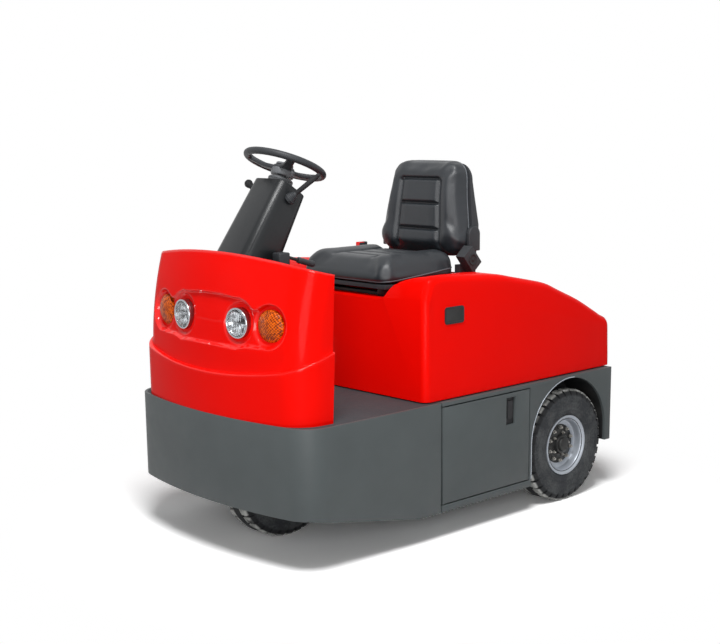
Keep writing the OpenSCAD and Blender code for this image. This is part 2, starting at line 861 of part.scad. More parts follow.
module tyre() {
    side = tyre_side();
    pitch = 360 / lug_count;
    difference() {
        rotate([0, 90, 0]) rotate_extrude($fn = 2 * lug_count)
            polygon(concat(side, [for (i = [len(side) - 1:-1:0]) [side[i][0], -side[i][1]]]));
        for (s = [0, 1], i = [0:lug_count - 1]) rotate([(i + s / 2) * pitch, 0, 0]) mirror([s, 0, 0])
            rotate([90, 0, 0]) linear_extrude(lug_gap, center = true) polygon(lug_groove());
    }
}

// Rim barrel with both flanges, closed by a disc from disc_x outwards
module rim(disc_x, disc_t, hole_r) {
    edge = tyre_w * 0.4;
    flange_t = 6;
    in_r = barrel_d / 2 - 8;
    rotate([0, 90, 0]) rotate_extrude($fn = 96) union() {
        translate([in_r, -edge - flange_t]) square([8, 2 * edge + 2 * flange_t]);
        for (s = [-1, 1]) translate([in_r, s * (edge + flange_t / 2) - flange_t / 2])
            square([rim_d / 2 - in_r, flange_t]);
        translate([hole_r, disc_x]) square([in_r + 1 - hole_r, disc_t]);
    }
}

module front_tyre() {
    color(BLACK) translate([0, front_axle_y, axle_z]) tyre();
}

module front_rim() {
    hub_r = 42;
    color(SILVER) translate([0, front_axle_y, axle_z]) difference() {
        union() {
            rim(-6, 12, 20);
            rod_x(-tyre_w / 2 - 6, tyre_w / 2 + 6, hub_r);
        }
        rod_x(-tyre_w, tyre_w, fork_pin_d / 2 + fit);
    }
}

disc_x = 8;
disc_t = 8;
hub_r = 40;
stud_ring = 54;
stud_r = 6;

module rear_rim() {
    color(SILVER) difference() {
        rim(disc_x, disc_t, hub_r + fit);
        for (i = [0:nut_count - 1]) rotate([i * 360 / nut_count, 0, 0]) translate([0, stud_ring, 0])
            rod_x(0, 40, stud_r + fit);
    }
}

module rear_hub() {
    bore = spindle_d / 2 + fit;
    nut_r = 11;
    nut_h = 12;
    inner_x = -60;
    face_x = 40;
    flange_r = 70;
    cap_x = 50;
    cap_r = 30;
    color(BLACK) difference() {
        union() {
            rod_x(inner_x, face_x, hub_r);
            rod_x(-6, disc_x, flange_r);
            rod_x(face_x - 10, cap_x, cap_r);
            for (i = [0:nut_count - 1]) rotate([i * 360 / nut_count, 0, 0]) translate([0, stud_ring, 0]) {
                rod_x(disc_x - 2, disc_x + disc_t + 20, stud_r);
                translate([disc_x + disc_t, 0, 0]) rotate([0, 90, 0]) cylinder(r = nut_r, h = nut_h, $fn = 6);
            }
        }
        rod_x(inner_x - 1, face_x - 16, bore);
    }
}

module at_rear_left() {
    translate([wheel_x, rear_axle_y, axle_z]) children();
}

module at_rear_right() {
    mirror([1, 0, 0]) at_rear_left() children();
}

module rear_tyre_left() {
    color(BLACK) at_rear_left() tyre();
}

module rear_rim_left() {
    at_rear_left() rear_rim();
}

module rear_hub_left() {
    at_rear_left() rear_hub();
}

module rear_tyre_right() {
    color(BLACK) at_rear_right() tyre();
}

module rear_rim_right() {
    at_rear_right() rear_rim();
}

module rear_hub_right() {
    at_rear_right() rear_hub();
}

// Hood
// Round-edged solid under the hood's side outline, drawn in by inset
module hood_body(inset) {
    difference() {
        hull() for (a = [0, 30, 60, 90])
            along_x(hood_w - 2 * hood_edge_r * (1 - sin(a)) - 2 * inset)
                offset(delta = -hood_edge_r * (1 - cos(a)) - inset) polygon(hood_side);
        box(-body_w, body_w, nose_y, tail_y + 50, 0, hood_z);
    }
}

module recess(grow) {
    line = [for (p = RECESS_LINE) [p[0] + grow, platform_z + p[1] - grow]];
    along_y(hood_front_y - 100, recess_rear_y + grow) polygon(concat(line, mirrored(line)));
}

module hood() {
    color(RED) union() {
        difference() {
            union() {
                difference() {
                    hood_body(0);
                    hood_body(hood_wall);
                }
                intersection() {
                    hood_body(0);
                    recess(hood_wall);
                }
            }
            recess(0);
            tail_places() translate([0, 0, -20]) cylinder(r = tail_lamp_r + fit, h = 80);
        }
        both_sides() translate([hinge_x - knuckle_l, 0, 0]) difference() {
            union() {
                translate([0, hood_axis_y, hood_axis_z]) rod_x(0, knuckle_l, knuckle_r);
                box(0, knuckle_l, hood_rear_y - 3, hood_axis_y, hood_axis_z, hood_axis_z + knuckle_r);
            }
            translate([0, hood_axis_y, hood_axis_z]) rod_x(-1, knuckle_l + 1, hood_pin_d / 2 + fit);
        }
    }
}

// Flush handles on the hood's sides
module hood_handles() {
    handle_l = 102;
    handle_h = 64;
    handle_t = 4;
    handle_back = 150;
    handle_rise = 315;
    handle_r = 12;
    rim_w = 8;
    handle_y = hood_front_y + handle_back;
    handle_z = deck_z + handle_rise;
    color(BLACK) both_sides() difference() {
        translate([hood_w / 2 + handle_t / 2, handle_y, handle_z]) along_x(handle_t)
            rounded_plate(handle_l, handle_h, handle_r);
        translate([hood_w / 2 + handle_t, handle_y, handle_z]) along_x(handle_t)
            rounded_plate(handle_l - 2 * rim_w, handle_h - 2 * rim_w, rim_w);
    }
}

module seat_rails() {
    slide_in = 90;
    slide_w = 36;
    slide_back = 45;
    slide_l = 400;
    tie_w = 30;
    tie_h = 12;
    tie_y0 = 15;
    tie_y1 = 70;
    slide_x = seat_w / 2 - slide_in;
    slide_y = seat_y + slide_back;
    color(BLACK) union() {
        both_sides() box(slide_x, slide_x + slide_w, slide_y, slide_y + slide_l, platform_z, pan_z);
        for (y = [slide_y + tie_y0, slide_y + slide_l - tie_y1])
            box(-slide_x - 1, slide_x + 1, y, y + tie_w, platform_z, platform_z + tie_h);
    }
}

// Backrest, drawn upright on the lower edge of its rear face
module on_backrest() {
    translate([0, backrest_y + backrest_t, backrest_z]) rotate([-backrest_lean, 0, 0]) children();
}

module seat_shell() {
    back_y = backrest_y + backrest_t;
    top_h = backrest_h - 12;
    shell_half = backrest_w / 2 + 2;
    edge = 14;
    arm_w = 40;
    straight_h = 140;
    corner_r = 68;
    taper_x = shell_half - backrest_taper;
    side = sin(backrest_lean);
    up = cos(backrest_lean);
    leaning = [for (p = [[42, 40], [42, 110], [22, 245], [5, top_h], [0, top_h]])
        [back_y + p[0] * up + p[1] * side, backrest_z + p[1] * up - p[0] * side]];
    color(BLACK) union() {
        box(-seat_w / 2 + edge, seat_w / 2 - edge, seat_y + edge, back_y + 2, pan_z, cushion_z);
        difference() {
            along_x(2 * shell_half) polygon(concat(
                [[back_y, backrest_z], [back_y, pan_z], [back_y + 30, pan_z], [back_y + 42, pan_z + 16]], leaning));
            box(arm_w - shell_half, shell_half - arm_w, back_y - 1, back_y + 100, pan_z - 1, backrest_z + 10);
            on_backrest() both_sides() along_y(-1, 100) difference() {
                polygon([
                    [shell_half, straight_h], [shell_half + 1, straight_h], [shell_half + 1, top_h + 1],
                    [taper_x - corner_r, top_h + 1], [taper_x - corner_r, top_h], [taper_x, top_h - corner_r]
                ]);
                translate([taper_x - corner_r, top_h - corner_r]) circle(r = corner_r);
            }
        }
    }
}

module seat_cushion() {
    color(VINYL) translate([0, seat_y + seat_d / 2, cushion_z]) soft_block(seat_w, seat_d, cushion_h, 60, 30, 0);
}

module seat_backrest() {
    color(VINYL) on_backrest() translate([0, 0, backrest_h / 2]) rotate([90, 0, 0])
        soft_block(backrest_w, backrest_h, backrest_t, 74, 26, backrest_taper);
}

module recliner_covers() {
    cover_t = 18;
    cover_r = 32;
    cover_h = 66;
    set_back = 18;
    rise = 96;
    x0 = backrest_w / 2 + 2;
    y0 = backrest_y + backrest_t + set_back;
    z0 = cushion_z + rise;
    color(BLACK) both_sides() translate([x0 + cover_t / 2, 0, 0]) along_x(cover_t) union() {
        translate([y0, z0 + cover_h]) circle(r = cover_r);
        translate([y0 - cover_r, z0]) square([2 * cover_r, cover_h]);
    }
}

module belt_retractor() {
    x0 = seat_w / 2 - 14;
    y0 = backrest_y + backrest_t - 58;
    color(BLACK) union() {
        box(x0, x0 + 26, y0 - 30, y0 + 24, pan_z, cushion_z + 50);
        translate([x0 + 47, y0, cushion_z + 72]) rotate([40, 0, 0]) cube([44, 62, 86], center = true);
    }
}

module belt_buckle() {
    x0 = -seat_w / 2 + 14;
    y0 = backrest_y - 56;
    color(BLACK) union() {
        box(x0 - 22, x0, y0 - 14, y0 + 14, pan_z, cushion_z - 1);
        box(x0 - 22, x0 - 15, y0 - 14, y0 + 14, pan_z, cushion_z + 60);
        box(x0 - 36, x0 - 15, y0 - 24, y0 + 24, cushion_z + 56, cushion_z + 112);
    }
}

// Round lamps let into the rear of the hood
module tail_places() {
    for (s = [-1, 1]) translate([s * tail_lamp_x, hood_rear_y - tail_lamp_sunk, tail_lamp_z])
        rotate([-90, 0, 0]) children();
}

module tail_lamps() {
    color([0.6, 0.02, 0.02]) tail_places() union() {
        cylinder(r = tail_lamp_r, h = tail_lamp_sunk + 8);
        translate([0, 0, tail_lamp_sunk + 7]) cylinder(r = tail_lamp_r - 6, h = 6);
    }
}

// Battery doors
module door(side) {
    x0 = half_w - door_t;
    color(GREY) mirror([side < 0 ? 1 : 0, 0, 0]) difference() {
        box(x0, half_w, door_y0, door_y1, door_z0, door_z1);
        box(half_w - latch_deep, half_w + 1, latch_y - latch_w / 2, latch_y + latch_w / 2, latch_z - latch_h / 2,
            latch_z + latch_h / 2);
        for (z = [door_z0 - 1, door_z1 - pin_in_door - 1]) translate([door_axis_x, door_axis_y, z])
            cylinder(d = hinge_pin_d + 2 * fit, h = pin_in_door + 2);
    }
}

module latch(side) {
    x0 = half_w - latch_deep;
    color(BLACK) mirror([side < 0 ? 1 : 0, 0, 0]) union() {
        box(x0, x0 + 3, latch_y - latch_w / 2 + 1, latch_y + latch_w / 2 - 1, latch_z - latch_h / 2 + 1,
            latch_z + latch_h / 2 - 1);
        box(x0 + 2, x0 + 10, latch_y - 14, latch_y + 14, latch_z - 30, latch_z + 40);
    }
}

module door_left() {
    door(1);
}

module latch_left() {
    latch(1);
}

module door_right() {
    door(-1);
}

module latch_right() {
    latch(-1);
}

front_skirt();
foot_deck();
main_frame();
arch_liners();
battery();
drive_axle();
tow_coupler();
tow_pin();
steering_bearing();
front_cowl();
dash_console();
headlamp_bodies();
headlamp_lenses();
indicator_lenses();
column_cover();
column_collar();
column_levers();
parking_brake();
stop_button();
key_switch();
pedals();
steering_wheel();
horn_cap();
front_fork();
front_tyre();
front_rim();
rear_tyre_left();
rear_rim_left();
rear_hub_left();
rear_tyre_right();
rear_rim_right();
rear_hub_right();
hood();
hood_handles();
seat_rails();
seat_shell();
seat_cushion();
seat_backrest();
recliner_covers();
belt_retractor();
belt_buckle();
tail_lamps();
door_left();
latch_left();
door_right();
latch_right();
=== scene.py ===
"""Looks of the electric tow tractor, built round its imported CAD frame."""
import json
import math

import bmesh
import bpy
from mathutils import Matrix, Vector


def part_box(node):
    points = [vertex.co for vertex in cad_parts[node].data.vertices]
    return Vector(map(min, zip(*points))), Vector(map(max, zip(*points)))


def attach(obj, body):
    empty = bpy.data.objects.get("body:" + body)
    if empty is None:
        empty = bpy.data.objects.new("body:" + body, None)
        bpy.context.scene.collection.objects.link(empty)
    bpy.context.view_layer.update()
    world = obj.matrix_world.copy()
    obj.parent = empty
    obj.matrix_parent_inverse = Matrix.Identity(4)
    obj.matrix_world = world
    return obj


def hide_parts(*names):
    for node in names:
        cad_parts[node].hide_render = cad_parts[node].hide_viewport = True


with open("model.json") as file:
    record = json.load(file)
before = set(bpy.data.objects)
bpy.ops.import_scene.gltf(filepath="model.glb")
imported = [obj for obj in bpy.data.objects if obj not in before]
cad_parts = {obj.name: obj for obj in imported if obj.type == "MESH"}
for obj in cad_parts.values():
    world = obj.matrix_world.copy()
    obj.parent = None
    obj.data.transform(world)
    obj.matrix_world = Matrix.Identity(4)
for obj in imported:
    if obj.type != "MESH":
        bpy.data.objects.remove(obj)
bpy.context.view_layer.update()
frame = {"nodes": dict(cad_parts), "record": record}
NODES = frame["nodes"]
BODY_OF = {node: body for body, members in frame["record"]["behaviour"]["bodies"].items() for node in members}
SLOT_OF = {part["node"]: part["material_slot"] for part in frame["record"]["subparts"]}
SCENE = bpy.context.scene


# Finishes

def rgb(red, green, blue):
    """A colour as it looks on a screen, 0 to 255, in the shader's linear values."""
    def linear(level):
        level /= 255
        return level / 12.92 if level <= 0.04045 else ((level + 0.055) / 1.055) ** 2.4
    return (linear(red), linear(green), linear(blue), 1.0)


class Value:
    """A shader socket that takes part in Python arithmetic."""

    def __init__(self, finish, socket):
        self.finish = finish
        self.socket = socket

    def math(self, operation, first, second=0.0):
        return self.finish.node("ShaderNodeMath", {"operation": operation}, {0: first, 1: second})

    def __add__(self, other):
        return self.math("ADD", self, other)

    __radd__ = __add__

    def __sub__(self, other):
        return self.math("SUBTRACT", self, other)

    def __rsub__(self, other):
        return self.math("SUBTRACT", other, self)

    def __mul__(self, other):
        return self.math("MULTIPLY", self, other)

    __rmul__ = __mul__

    def __truediv__(self, other):
        return self.math("DIVIDE", self, other)

    def __pow__(self, other):
        return self.math("POWER", self, other)

    def __abs__(self):
        return self.math("ABSOLUTE", self)

    def sine(self):
        return self.math("SINE", self)


class Finish:
    """A material whose shader is fed by expressions on its own sockets."""

    def __init__(self, name, colour, roughness, constants=None):
        self.material = bpy.data.materials.new(name)
        self.material.use_nodes = True
        self.tree = self.material.node_tree
        self.shader = self.tree.nodes["Principled BSDF"]
        self.feed("Base Color", colour)
        self.feed("Roughness", roughness)
        for socket, value in (constants or {}).items():
            self.feed(socket, value)

    def feed(self, socket, value):
        self.join(self.shader.inputs[socket], value)

    def join(self, socket, value):
        if isinstance(value, Value):
            self.tree.links.new(value.socket, socket)
        else:
            socket.default_value = value

    def node(self, kind, settings=None, inputs=None, out=0):
        made = self.tree.nodes.new(kind)
        for key, value in (settings or {}).items():
            setattr(made, key, value)
        for key, value in (inputs or {}).items():
            self.join(made.inputs[key], value)
        return Value(self, made.outputs[out])

    def place(self):
        return self.node("ShaderNodeTexCoord", out="Object")

    def along(self, axis):
        return self.node("ShaderNodeSeparateXYZ", inputs={0: self.place()}, out=axis)

    def away(self):
        """Distance from the middle of the object's own axes."""
        return self.node("ShaderNodeVectorMath", {"operation": "LENGTH"}, {0: self.place()}, "Value")

    def kept(self, name):
        return self.node("ShaderNodeAttribute", {"attribute_name": name}, out="Fac")

    def grain(self, scale, detail=2.0, rough=0.5):
        return self.node("ShaderNodeTexNoise", {}, {
            "Vector": self.place(), "Scale": scale, "Detail": detail, "Roughness": rough})

    def pebbles(self, scale):
        return self.node("ShaderNodeTexVoronoi", {"feature": "SMOOTH_F1"}, {
            "Vector": self.place(), "Scale": scale, "Smoothness": 0.4})

    def between(self, value, low, high):
        return self.node("ShaderNodeMapRange", {"interpolation_type": "SMOOTHSTEP"}, {
            "Value": value, "From Min": low, "From Max": high})

    def mix(self, factor, first, second):
        return self.node("ShaderNodeMix", {"data_type": "RGBA"}, {0: factor, 6: first, 7: second}, 2)

    def shades(self, share, dark, light):
        """Base colour that goes from dark to light by share."""
        self.feed("Base Color", self.mix(share, dark, light))

    def waves(self, axis, pitch):
        return (self.along(axis) * (2 * math.pi / pitch)).sine()

    def relief(self, height, depth, strength=1.0):
        self.feed("Normal", self.node("ShaderNodeBump", {}, {
            "Strength": strength, "Distance": depth, "Height": height}))


def red_gloss():
    finish = Finish("red_gloss", rgb(232, 8, 2), 0.3, {"Specular IOR Level": 0.02, "Coat Roughness": 0.05})
    finish.feed("Coat Weight", 0.05 + 0.95 * finish.kept("lip"))
    finish.shades(finish.grain(2.5, 3), rgb(228, 6, 1), rgb(238, 10, 3))
    finish.feed("Roughness", 0.3 + 0.1 * finish.grain(30, 4))
    finish.relief(finish.grain(380, 2), 0.0003, 0.1)
    return finish


def powder_grey(name, dark, light):
    finish = Finish(name, light, 0.45, {"Specular IOR Level": 0.25})
    finish.shades(finish.grain(7, 4), dark, light)
    finish.feed("Roughness", 0.4 + 0.16 * finish.grain(22, 4))
    finish.relief(finish.grain(1300, 3), 0.0004, 0.3)
    return finish


def deck_rubber():
    finish = Finish("deck_rubber", rgb(72, 75, 79), 0.7, {"Specular IOR Level": 0.25})
    ribs = finish.waves(0, 0.012)
    finish.shades(finish.grain(9, 4), rgb(52, 56, 59), rgb(66, 70, 73))
    finish.feed("Roughness", 0.6 + 0.2 * finish.grain(40, 3))
    finish.relief(finish.between(ribs, -0.4, 0.5) + 0.15 * finish.grain(900, 2), 0.0012, 0.7)
    return finish


def black_paint():
    finish = Finish("black_paint", rgb(30, 31, 32), 0.45, {"Specular IOR Level": 0.3})
    dust = finish.between(finish.grain(8, 5), 0.45, 0.8)
    finish.shades(dust, rgb(25, 26, 27), rgb(46, 45, 43))
    finish.feed("Roughness", 0.42 + 0.25 * dust)
    finish.relief(finish.grain(500, 3), 0.0004, 0.25)
    return finish


def moulded(name, dark, light, scale=620, rough=0.48, shine=0.3):
    """Moulded plastic with a pebbled grain."""
    finish = Finish(name, light, rough, {"Specular IOR Level": shine})
    pebbles = finish.pebbles(scale)
    finish.shades(finish.grain(11, 4), dark, light)
    finish.feed("Roughness", rough - 0.05 + 0.14 * finish.grain(26, 3))
    finish.relief(pebbles + 0.3 * finish.grain(1500, 2), 0.0005, 0.32)
    return finish


def seat_vinyl():
    finish = Finish("seat_vinyl", rgb(44, 48, 52), 0.4, {"Specular IOR Level": 0.5})
    leather = finish.pebbles(480) + 0.5 * finish.grain(1100, 3)
    finish.shades(finish.grain(9, 5), rgb(25, 29, 33), rgb(36, 40, 45))
    finish.feed("Roughness", 0.37 + 0.1 * finish.grain(34, 4))
    finish.relief(leather, 0.0007, 0.35)
    return finish


def tyre_rubber():
    finish = Finish("tyre_rubber", rgb(50, 51, 53), 0.75, {"Specular IOR Level": 0.25})
    reach = finish.kept("reach")
    worn = finish.kept("lug") * finish.between(reach, 0.222, 0.229) * finish.between(finish.grain(20, 4), 0.2, 0.6)
    dust = finish.between(finish.grain(14, 5) + 0.5 * (finish.grain(130, 4) - 0.5), 0.35, 0.75)
    side = finish.mix(dust, rgb(44, 46, 49), rgb(74, 76, 77))
    # Past a radius of 0.212 the tread band is painted near black, as painted shade in the deep tread; worn lug tops
    # go light.
    tread_painted_shade = finish.mix(finish.between(reach, 0.203, 0.212), side, rgb(27, 28, 30))
    finish.shades(worn, tread_painted_shade, rgb(176, 177, 174))
    finish.feed("Roughness", 0.62 + 0.2 * finish.grain(30, 4))
    finish.relief(finish.grain(260, 4), 0.0008, 0.3)
    return finish


def rim_paint():
    finish = Finish("rim_paint", rgb(140, 146, 155), 0.36, {"Metallic": 0.45})
    finish.shades(finish.grain(18, 4), rgb(150, 156, 164), rgb(170, 176, 184))
    finish.feed("Roughness", 0.28 + 0.18 * finish.grain(45, 4))
    finish.relief(finish.grain(700, 3), 0.0003, 0.25)
    return finish


def bare_metal(name, colour, rough, scale=60):
    finish = Finish(name, colour, rough, {"Metallic": 1.0})
    finish.feed("Roughness", rough * 0.75 + rough * 0.5 * finish.grain(scale, 4))
    finish.relief(finish.grain(900, 2), 0.0002, 0.12)
    return finish


def lamp_reflector():
    """Bright bowl whose colour is painted dark in spots, as painted reflection of the dark inside of the lamp."""
    finish = Finish("lamp_reflector", (0.8, 0.81, 0.83, 1), 0.12, {"Metallic": 1.0})
    # Dark and bright spots of colour: painted reflection.
    painted_reflection_patches = finish.between(finish.grain(64, 2), 0.46, 0.56)
    finish.shades(painted_reflection_patches, (0.04, 0.042, 0.046, 1), (0.66, 0.67, 0.68, 1))
    finish.feed("Roughness", 0.08 + 0.12 * finish.grain(60, 3))
    finish.relief(finish.grain(80, 2), 0.003, 0.4)
    return finish


def hub_iron():
    finish = Finish("hub_iron", rgb(24, 25, 25), 0.5, {"Metallic": 0.3})
    oil = finish.between(finish.grain(26, 5), 0.4, 0.7)
    finish.shades(oil, rgb(18, 19, 19), rgb(38, 39, 37))
    finish.feed("Roughness", 0.55 - 0.25 * oil)
    finish.relief(finish.grain(420, 4), 0.0008, 0.4)
    return finish


def clear_lens():
    finish = Finish("clear_lens", (0.96, 0.98, 1.0, 1.0), 0.04, {"Transmission Weight": 1.0, "IOR": 1.25})
    flutes = finish.waves(0, 0.0085)
    finish.relief(flutes + 0.2 * finish.grain(300, 2), 0.0012, 0.35)
    return finish


def prism_lens(name, dark, light, pitch, transmission, uneven):
    """Signal lens with a moulded grid of small prisms; its colour is painted dark and light across the prisms and
    unevenly by noise, as painted glints and shade of the prisms and of the bulb behind.
    """
    finish = Finish(name, light, 0.14, {
        "Transmission Weight": transmission, "Specular IOR Level": 0.12, "Coat Weight": 0.04})
    prisms = finish.waves(0, pitch) * finish.waves(2, pitch) + uneven * (finish.grain(120, 3) - 0.5)
    # The prism pattern and the noise paint the colour dark and light: painted glints and shade.
    finish.shades(finish.between(prisms, -0.9, 0.9), dark, light)
    finish.feed("Roughness", 0.12 + 0.1 * finish.grain(120, 2))
    finish.relief(prisms, 0.0009, 0.5)
    return finish


RED = red_gloss()
GREY = powder_grey("chassis_grey", rgb(68, 73, 74), rgb(78, 84, 85))
DECK = deck_rubber()
BLACK = black_paint()
PLASTIC = moulded("black_plastic", rgb(42, 44, 47), rgb(52, 54, 57))
COVER_PLASTIC = moulded("cover_plastic", rgb(24, 26, 28), rgb(31, 33, 35), 620, 0.3, 0.3)
GREY_PLASTIC = moulded("grey_plastic", rgb(92, 94, 97), rgb(106, 108, 111), 800, 0.4)
BATTERY = moulded("battery_case", rgb(38, 41, 46), rgb(48, 51, 57), 500, 0.55)
RUBBER = moulded("black_rubber", rgb(28, 28, 30), rgb(38, 38, 40), 900, 0.62)
VINYL = seat_vinyl()
# Light grey cord colour for the seat seams: a painted highlight.
PIPING_PAINTED_HIGHLIGHT = moulded("seat_piping_painted_highlight", rgb(84, 88, 93), rgb(98, 102, 107), 700, 0.4)
TYRE = tyre_rubber()
RIM = rim_paint()
IRON = hub_iron()
CHROME = bare_metal("chrome", (0.4, 0.41, 0.43, 1), 0.16)
REFLECTOR = lamp_reflector()
DULL_STEEL = bare_metal("dull_steel", (0.3, 0.29, 0.27, 1), 0.5)
STEEL = bare_metal("bright_steel", (0.5, 0.51, 0.53, 1), 0.34)
CLEAR = clear_lens()
AMBER = prism_lens("amber_lens", rgb(112, 34, 0), rgb(226, 100, 8), 0.0105, 0.05, 5.0)
TAIL_RED = prism_lens("red_lens", rgb(120, 4, 4), rgb(186, 12, 10), 0.0065, 0.2, 0.5)
STOP_RED = moulded("red_plastic", rgb(206, 12, 8), rgb(226, 20, 14), 900, 0.32)


# Shapes

ACROSS = Matrix.Rotation(math.pi / 2, 4, "Y")
FORWARD = Matrix.Rotation(math.pi / 2, 4, "X")
BACKWARD = Matrix.Rotation(-math.pi / 2, 4, "X")
HERE = Matrix.Identity(4)


def at(x, y, z):
    return Matrix.Translation((x, y, z))


def spun(degrees, axis):
    return Matrix.Rotation(math.radians(degrees), 4, axis)


def smooth(low, high, value):
    t = min(1.0, max(0.0, (value - low) / (high - low)))
    return t * t * (3 - 2 * t)


def mm(text):
    """Points from pairs of millimetres."""
    return [tuple(float(number) / 1000 for number in pair.split()) for pair in text.split(",")]


def everything(bm):
    return list(bm.verts) + list(bm.edges) + list(bm.faces)


def moved(bm, matrix):
    bmesh.ops.transform(bm, matrix=matrix, verts=bm.verts)
    return bm


def merged(bm, distance=1e-5):
    bmesh.ops.remove_doubles(bm, verts=bm.verts, dist=distance)
    return bm


def outwards(bm):
    bmesh.ops.recalc_face_normals(bm, faces=bm.faces)
    return bm


def settled(bm, place=HERE):
    """Merges doubles, puts the shape in its place and turns its faces outwards."""
    return outwards(moved(merged(bm), place))


def flattened(bm, degrees):
    """Joins faces that lie in one plane."""
    bmesh.ops.dissolve_limit(bm, angle_limit=math.radians(degrees), use_dissolve_boundaries=False, verts=bm.verts,
                             edges=bm.edges, delimit=set())
    return bm


def soften(bm, edges, width, segments=2):
    bmesh.ops.bevel(bm, geom=list(edges), offset=width, offset_type="OFFSET", segments=segments, profile=0.5,
                    affect="EDGES", clamp_overlap=True, material=-1)
    return bm


def points_of(made):
    return [v for v in made if isinstance(v, bmesh.types.BMVert)]


def edges_of(made):
    return [e for e in made if isinstance(e, bmesh.types.BMEdge)]


def creases(bm, degrees):
    limit = math.radians(degrees)
    return [e for e in bm.edges if len(e.link_faces) == 2 and e.calc_face_angle(0.0) > limit]


def lathe(profile, steps, place=HERE, closed=True):
    """Turns a profile of (radius, height) points about the upright axis."""
    bm = bmesh.new()
    ring = [bm.verts.new((radius, 0, height)) for radius, height in profile]
    edges = [bm.edges.new(pair) for pair in zip(ring, ring[1:])]
    if closed and profile[0][0] + profile[-1][0] > 0:
        edges.append(bm.edges.new((ring[-1], ring[0])))
    bmesh.ops.spin(bm, geom=ring + edges, cent=(0, 0, 0), axis=(0, 0, 1), dvec=(0, 0, 0), angle=2 * math.pi,
                   steps=steps, use_merge=True, use_normal_flip=False, use_duplicate=False)
    return settled(bm, place)


def block(low, high, edge=0.002, segments=2, place=HERE):
    """Block between two corners, with rounded edges."""
    bm = bmesh.new()
    bmesh.ops.create_cube(bm, size=1)
    low, high = Vector(low), Vector(high)
    bmesh.ops.scale(bm, vec=high - low, verts=bm.verts)
    bmesh.ops.translate(bm, vec=(low + high) / 2, verts=bm.verts)
    soften(bm, bm.edges, edge, segments)
    return settled(bm, place)


def prism(outline, depth, place=HERE, edge=0.0, segments=2):
    """Flat outline of (x, y) points drawn up by depth, with rounded edges."""
    bm = bmesh.new()
    face = bm.faces.new([bm.verts.new((x, y, 0)) for x, y in outline])
    grown = bmesh.ops.extrude_face_region(bm, geom=[face])
    bmesh.ops.translate(bm, vec=(0, 0, depth), verts=points_of(grown["geom"]))
    if edge:
        soften(bm, creases(bm, 35), edge, segments)
    return settled(bm, place)


def cad_copy(node):
    """Copy of a CAD node."""
    bm = bmesh.new()
    bm.from_mesh(NODES[node].data)
    return merged(bm, 2e-5)


def plain_copy(node):
    """Copy of a CAD node with its flat faces joined."""
    return flattened(cad_copy(node), 0.5)


def linked(name, data):
    obj = bpy.data.objects.new(name, data)
    SCENE.collection.objects.link(obj)
    return obj


def mesh_of(bm, name):
    mesh = bpy.data.meshes.new(name)
    bm.to_mesh(mesh)
    bm.free()
    return mesh


def from_object(obj):
    """Mesh of an object with its modifiers applied, and the object removed."""
    bpy.context.view_layer.update()
    depsgraph = bpy.context.evaluated_depsgraph_get()
    mesh = bpy.data.meshes.new_from_object(obj.evaluated_get(depsgraph))
    bm = bmesh.new()
    bm.from_mesh(mesh)
    bpy.data.meshes.remove(mesh)
    bpy.data.objects.remove(obj)
    return bm


def scratch(bm, name):
    """Passing object for a modifier to work on."""
    return linked(name, mesh_of(bm, name))


def tube(points, radius, closed=False):
    """Round bead along a line of points."""
    curve = bpy.data.curves.new("bead", "CURVE")
    curve.dimensions = "3D"
    curve.bevel_depth = radius
    curve.bevel_resolution = 3
    curve.use_fill_caps = True
    spline = curve.splines.new("POLY")
    spline.points.add(len(points) - 1)
    for point, place in zip(spline.points, points):
        point.co = (*place, 1)
    spline.use_cyclic_u = closed
    bm = from_object(linked("bead", curve))
    bpy.data.curves.remove(curve)
    return settled(bm)


def tinted(bm, index, test=lambda face: True):
    """Gives the faces that test() picks the finish at index."""
    for face in bm.faces:
        if test(face):
            face.material_index = index
    return bm


def joined(*parts):
    whole = bmesh.new()
    for part in parts:
        mesh = mesh_of(part, "part")
        whole.from_mesh(mesh)
        bpy.data.meshes.remove(mesh)
    return whole


def turned(bm, matrix):
    """Copy of a shape at another place."""
    other = moved(bm.copy(), matrix)
    if matrix.determinant() < 0:
        bmesh.ops.reverse_faces(other, faces=other.faces)
    return other


def piece(name, bm, finishes, nodes, sharp=32, body=None, slot=None):
    """Puts a shape in the scene as a finished piece that stands for its CAD nodes."""
    mesh = mesh_of(bm, name)
    mesh.polygons.foreach_set("use_smooth", [True] * len(mesh.polygons))
    mesh.set_sharp_from_angle(angle=math.radians(sharp))
    for finish in finishes:
        mesh.materials.append(finish.material)
    obj = linked(name, mesh)
    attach(obj, body or BODY_OF[nodes[0]])
    slot or SLOT_OF[nodes[0]]
    if nodes:
        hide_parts(*nodes)
    return obj


def dressed(node, finish, width, segments=2, degrees=32):
    """CAD node with its edges rounded."""
    bm = plain_copy(node)
    soften(bm, creases(bm, degrees), width, segments)
    return piece(node + "_dressed", bm, [finish], [node])


# Chassis

REAR_TRACK = 0.437
REAR_AXLE_Y = 0.557
FRONT_AXLE_Y = -0.553
ARCH_Z = 0.277
ARCH_R = 0.2405
ARCH_FACE = 0.5095
ARCH_FOOT = 0.14
ARCH_BEAD = 0.0022


def chassis():
    dressed("front_skirt", GREY, 0.005, 3)
    dressed("foot_deck", DECK, 0.0015)
    dressed("main_frame", GREY, 0.0022)
    dressed("arch_liners", BLACK, 0.001)
    dressed("battery", BATTERY, 0.006, 3)
    dressed("drive_axle", BLACK, 0.002)
    dressed("tow_coupler", BLACK, 0.002)
    dressed("tow_pin", STEEL, 0.0015)
    dressed("steering_bearing", BLACK, 0.0015)
    dressed("front_fork", BLACK, 0.002)
    for side in ("left", "right"):
        dressed("door_" + side, GREY, 0.0022)
        dressed("latch_" + side, RUBBER, 0.0015)
    arch_lips_painted_highlight()


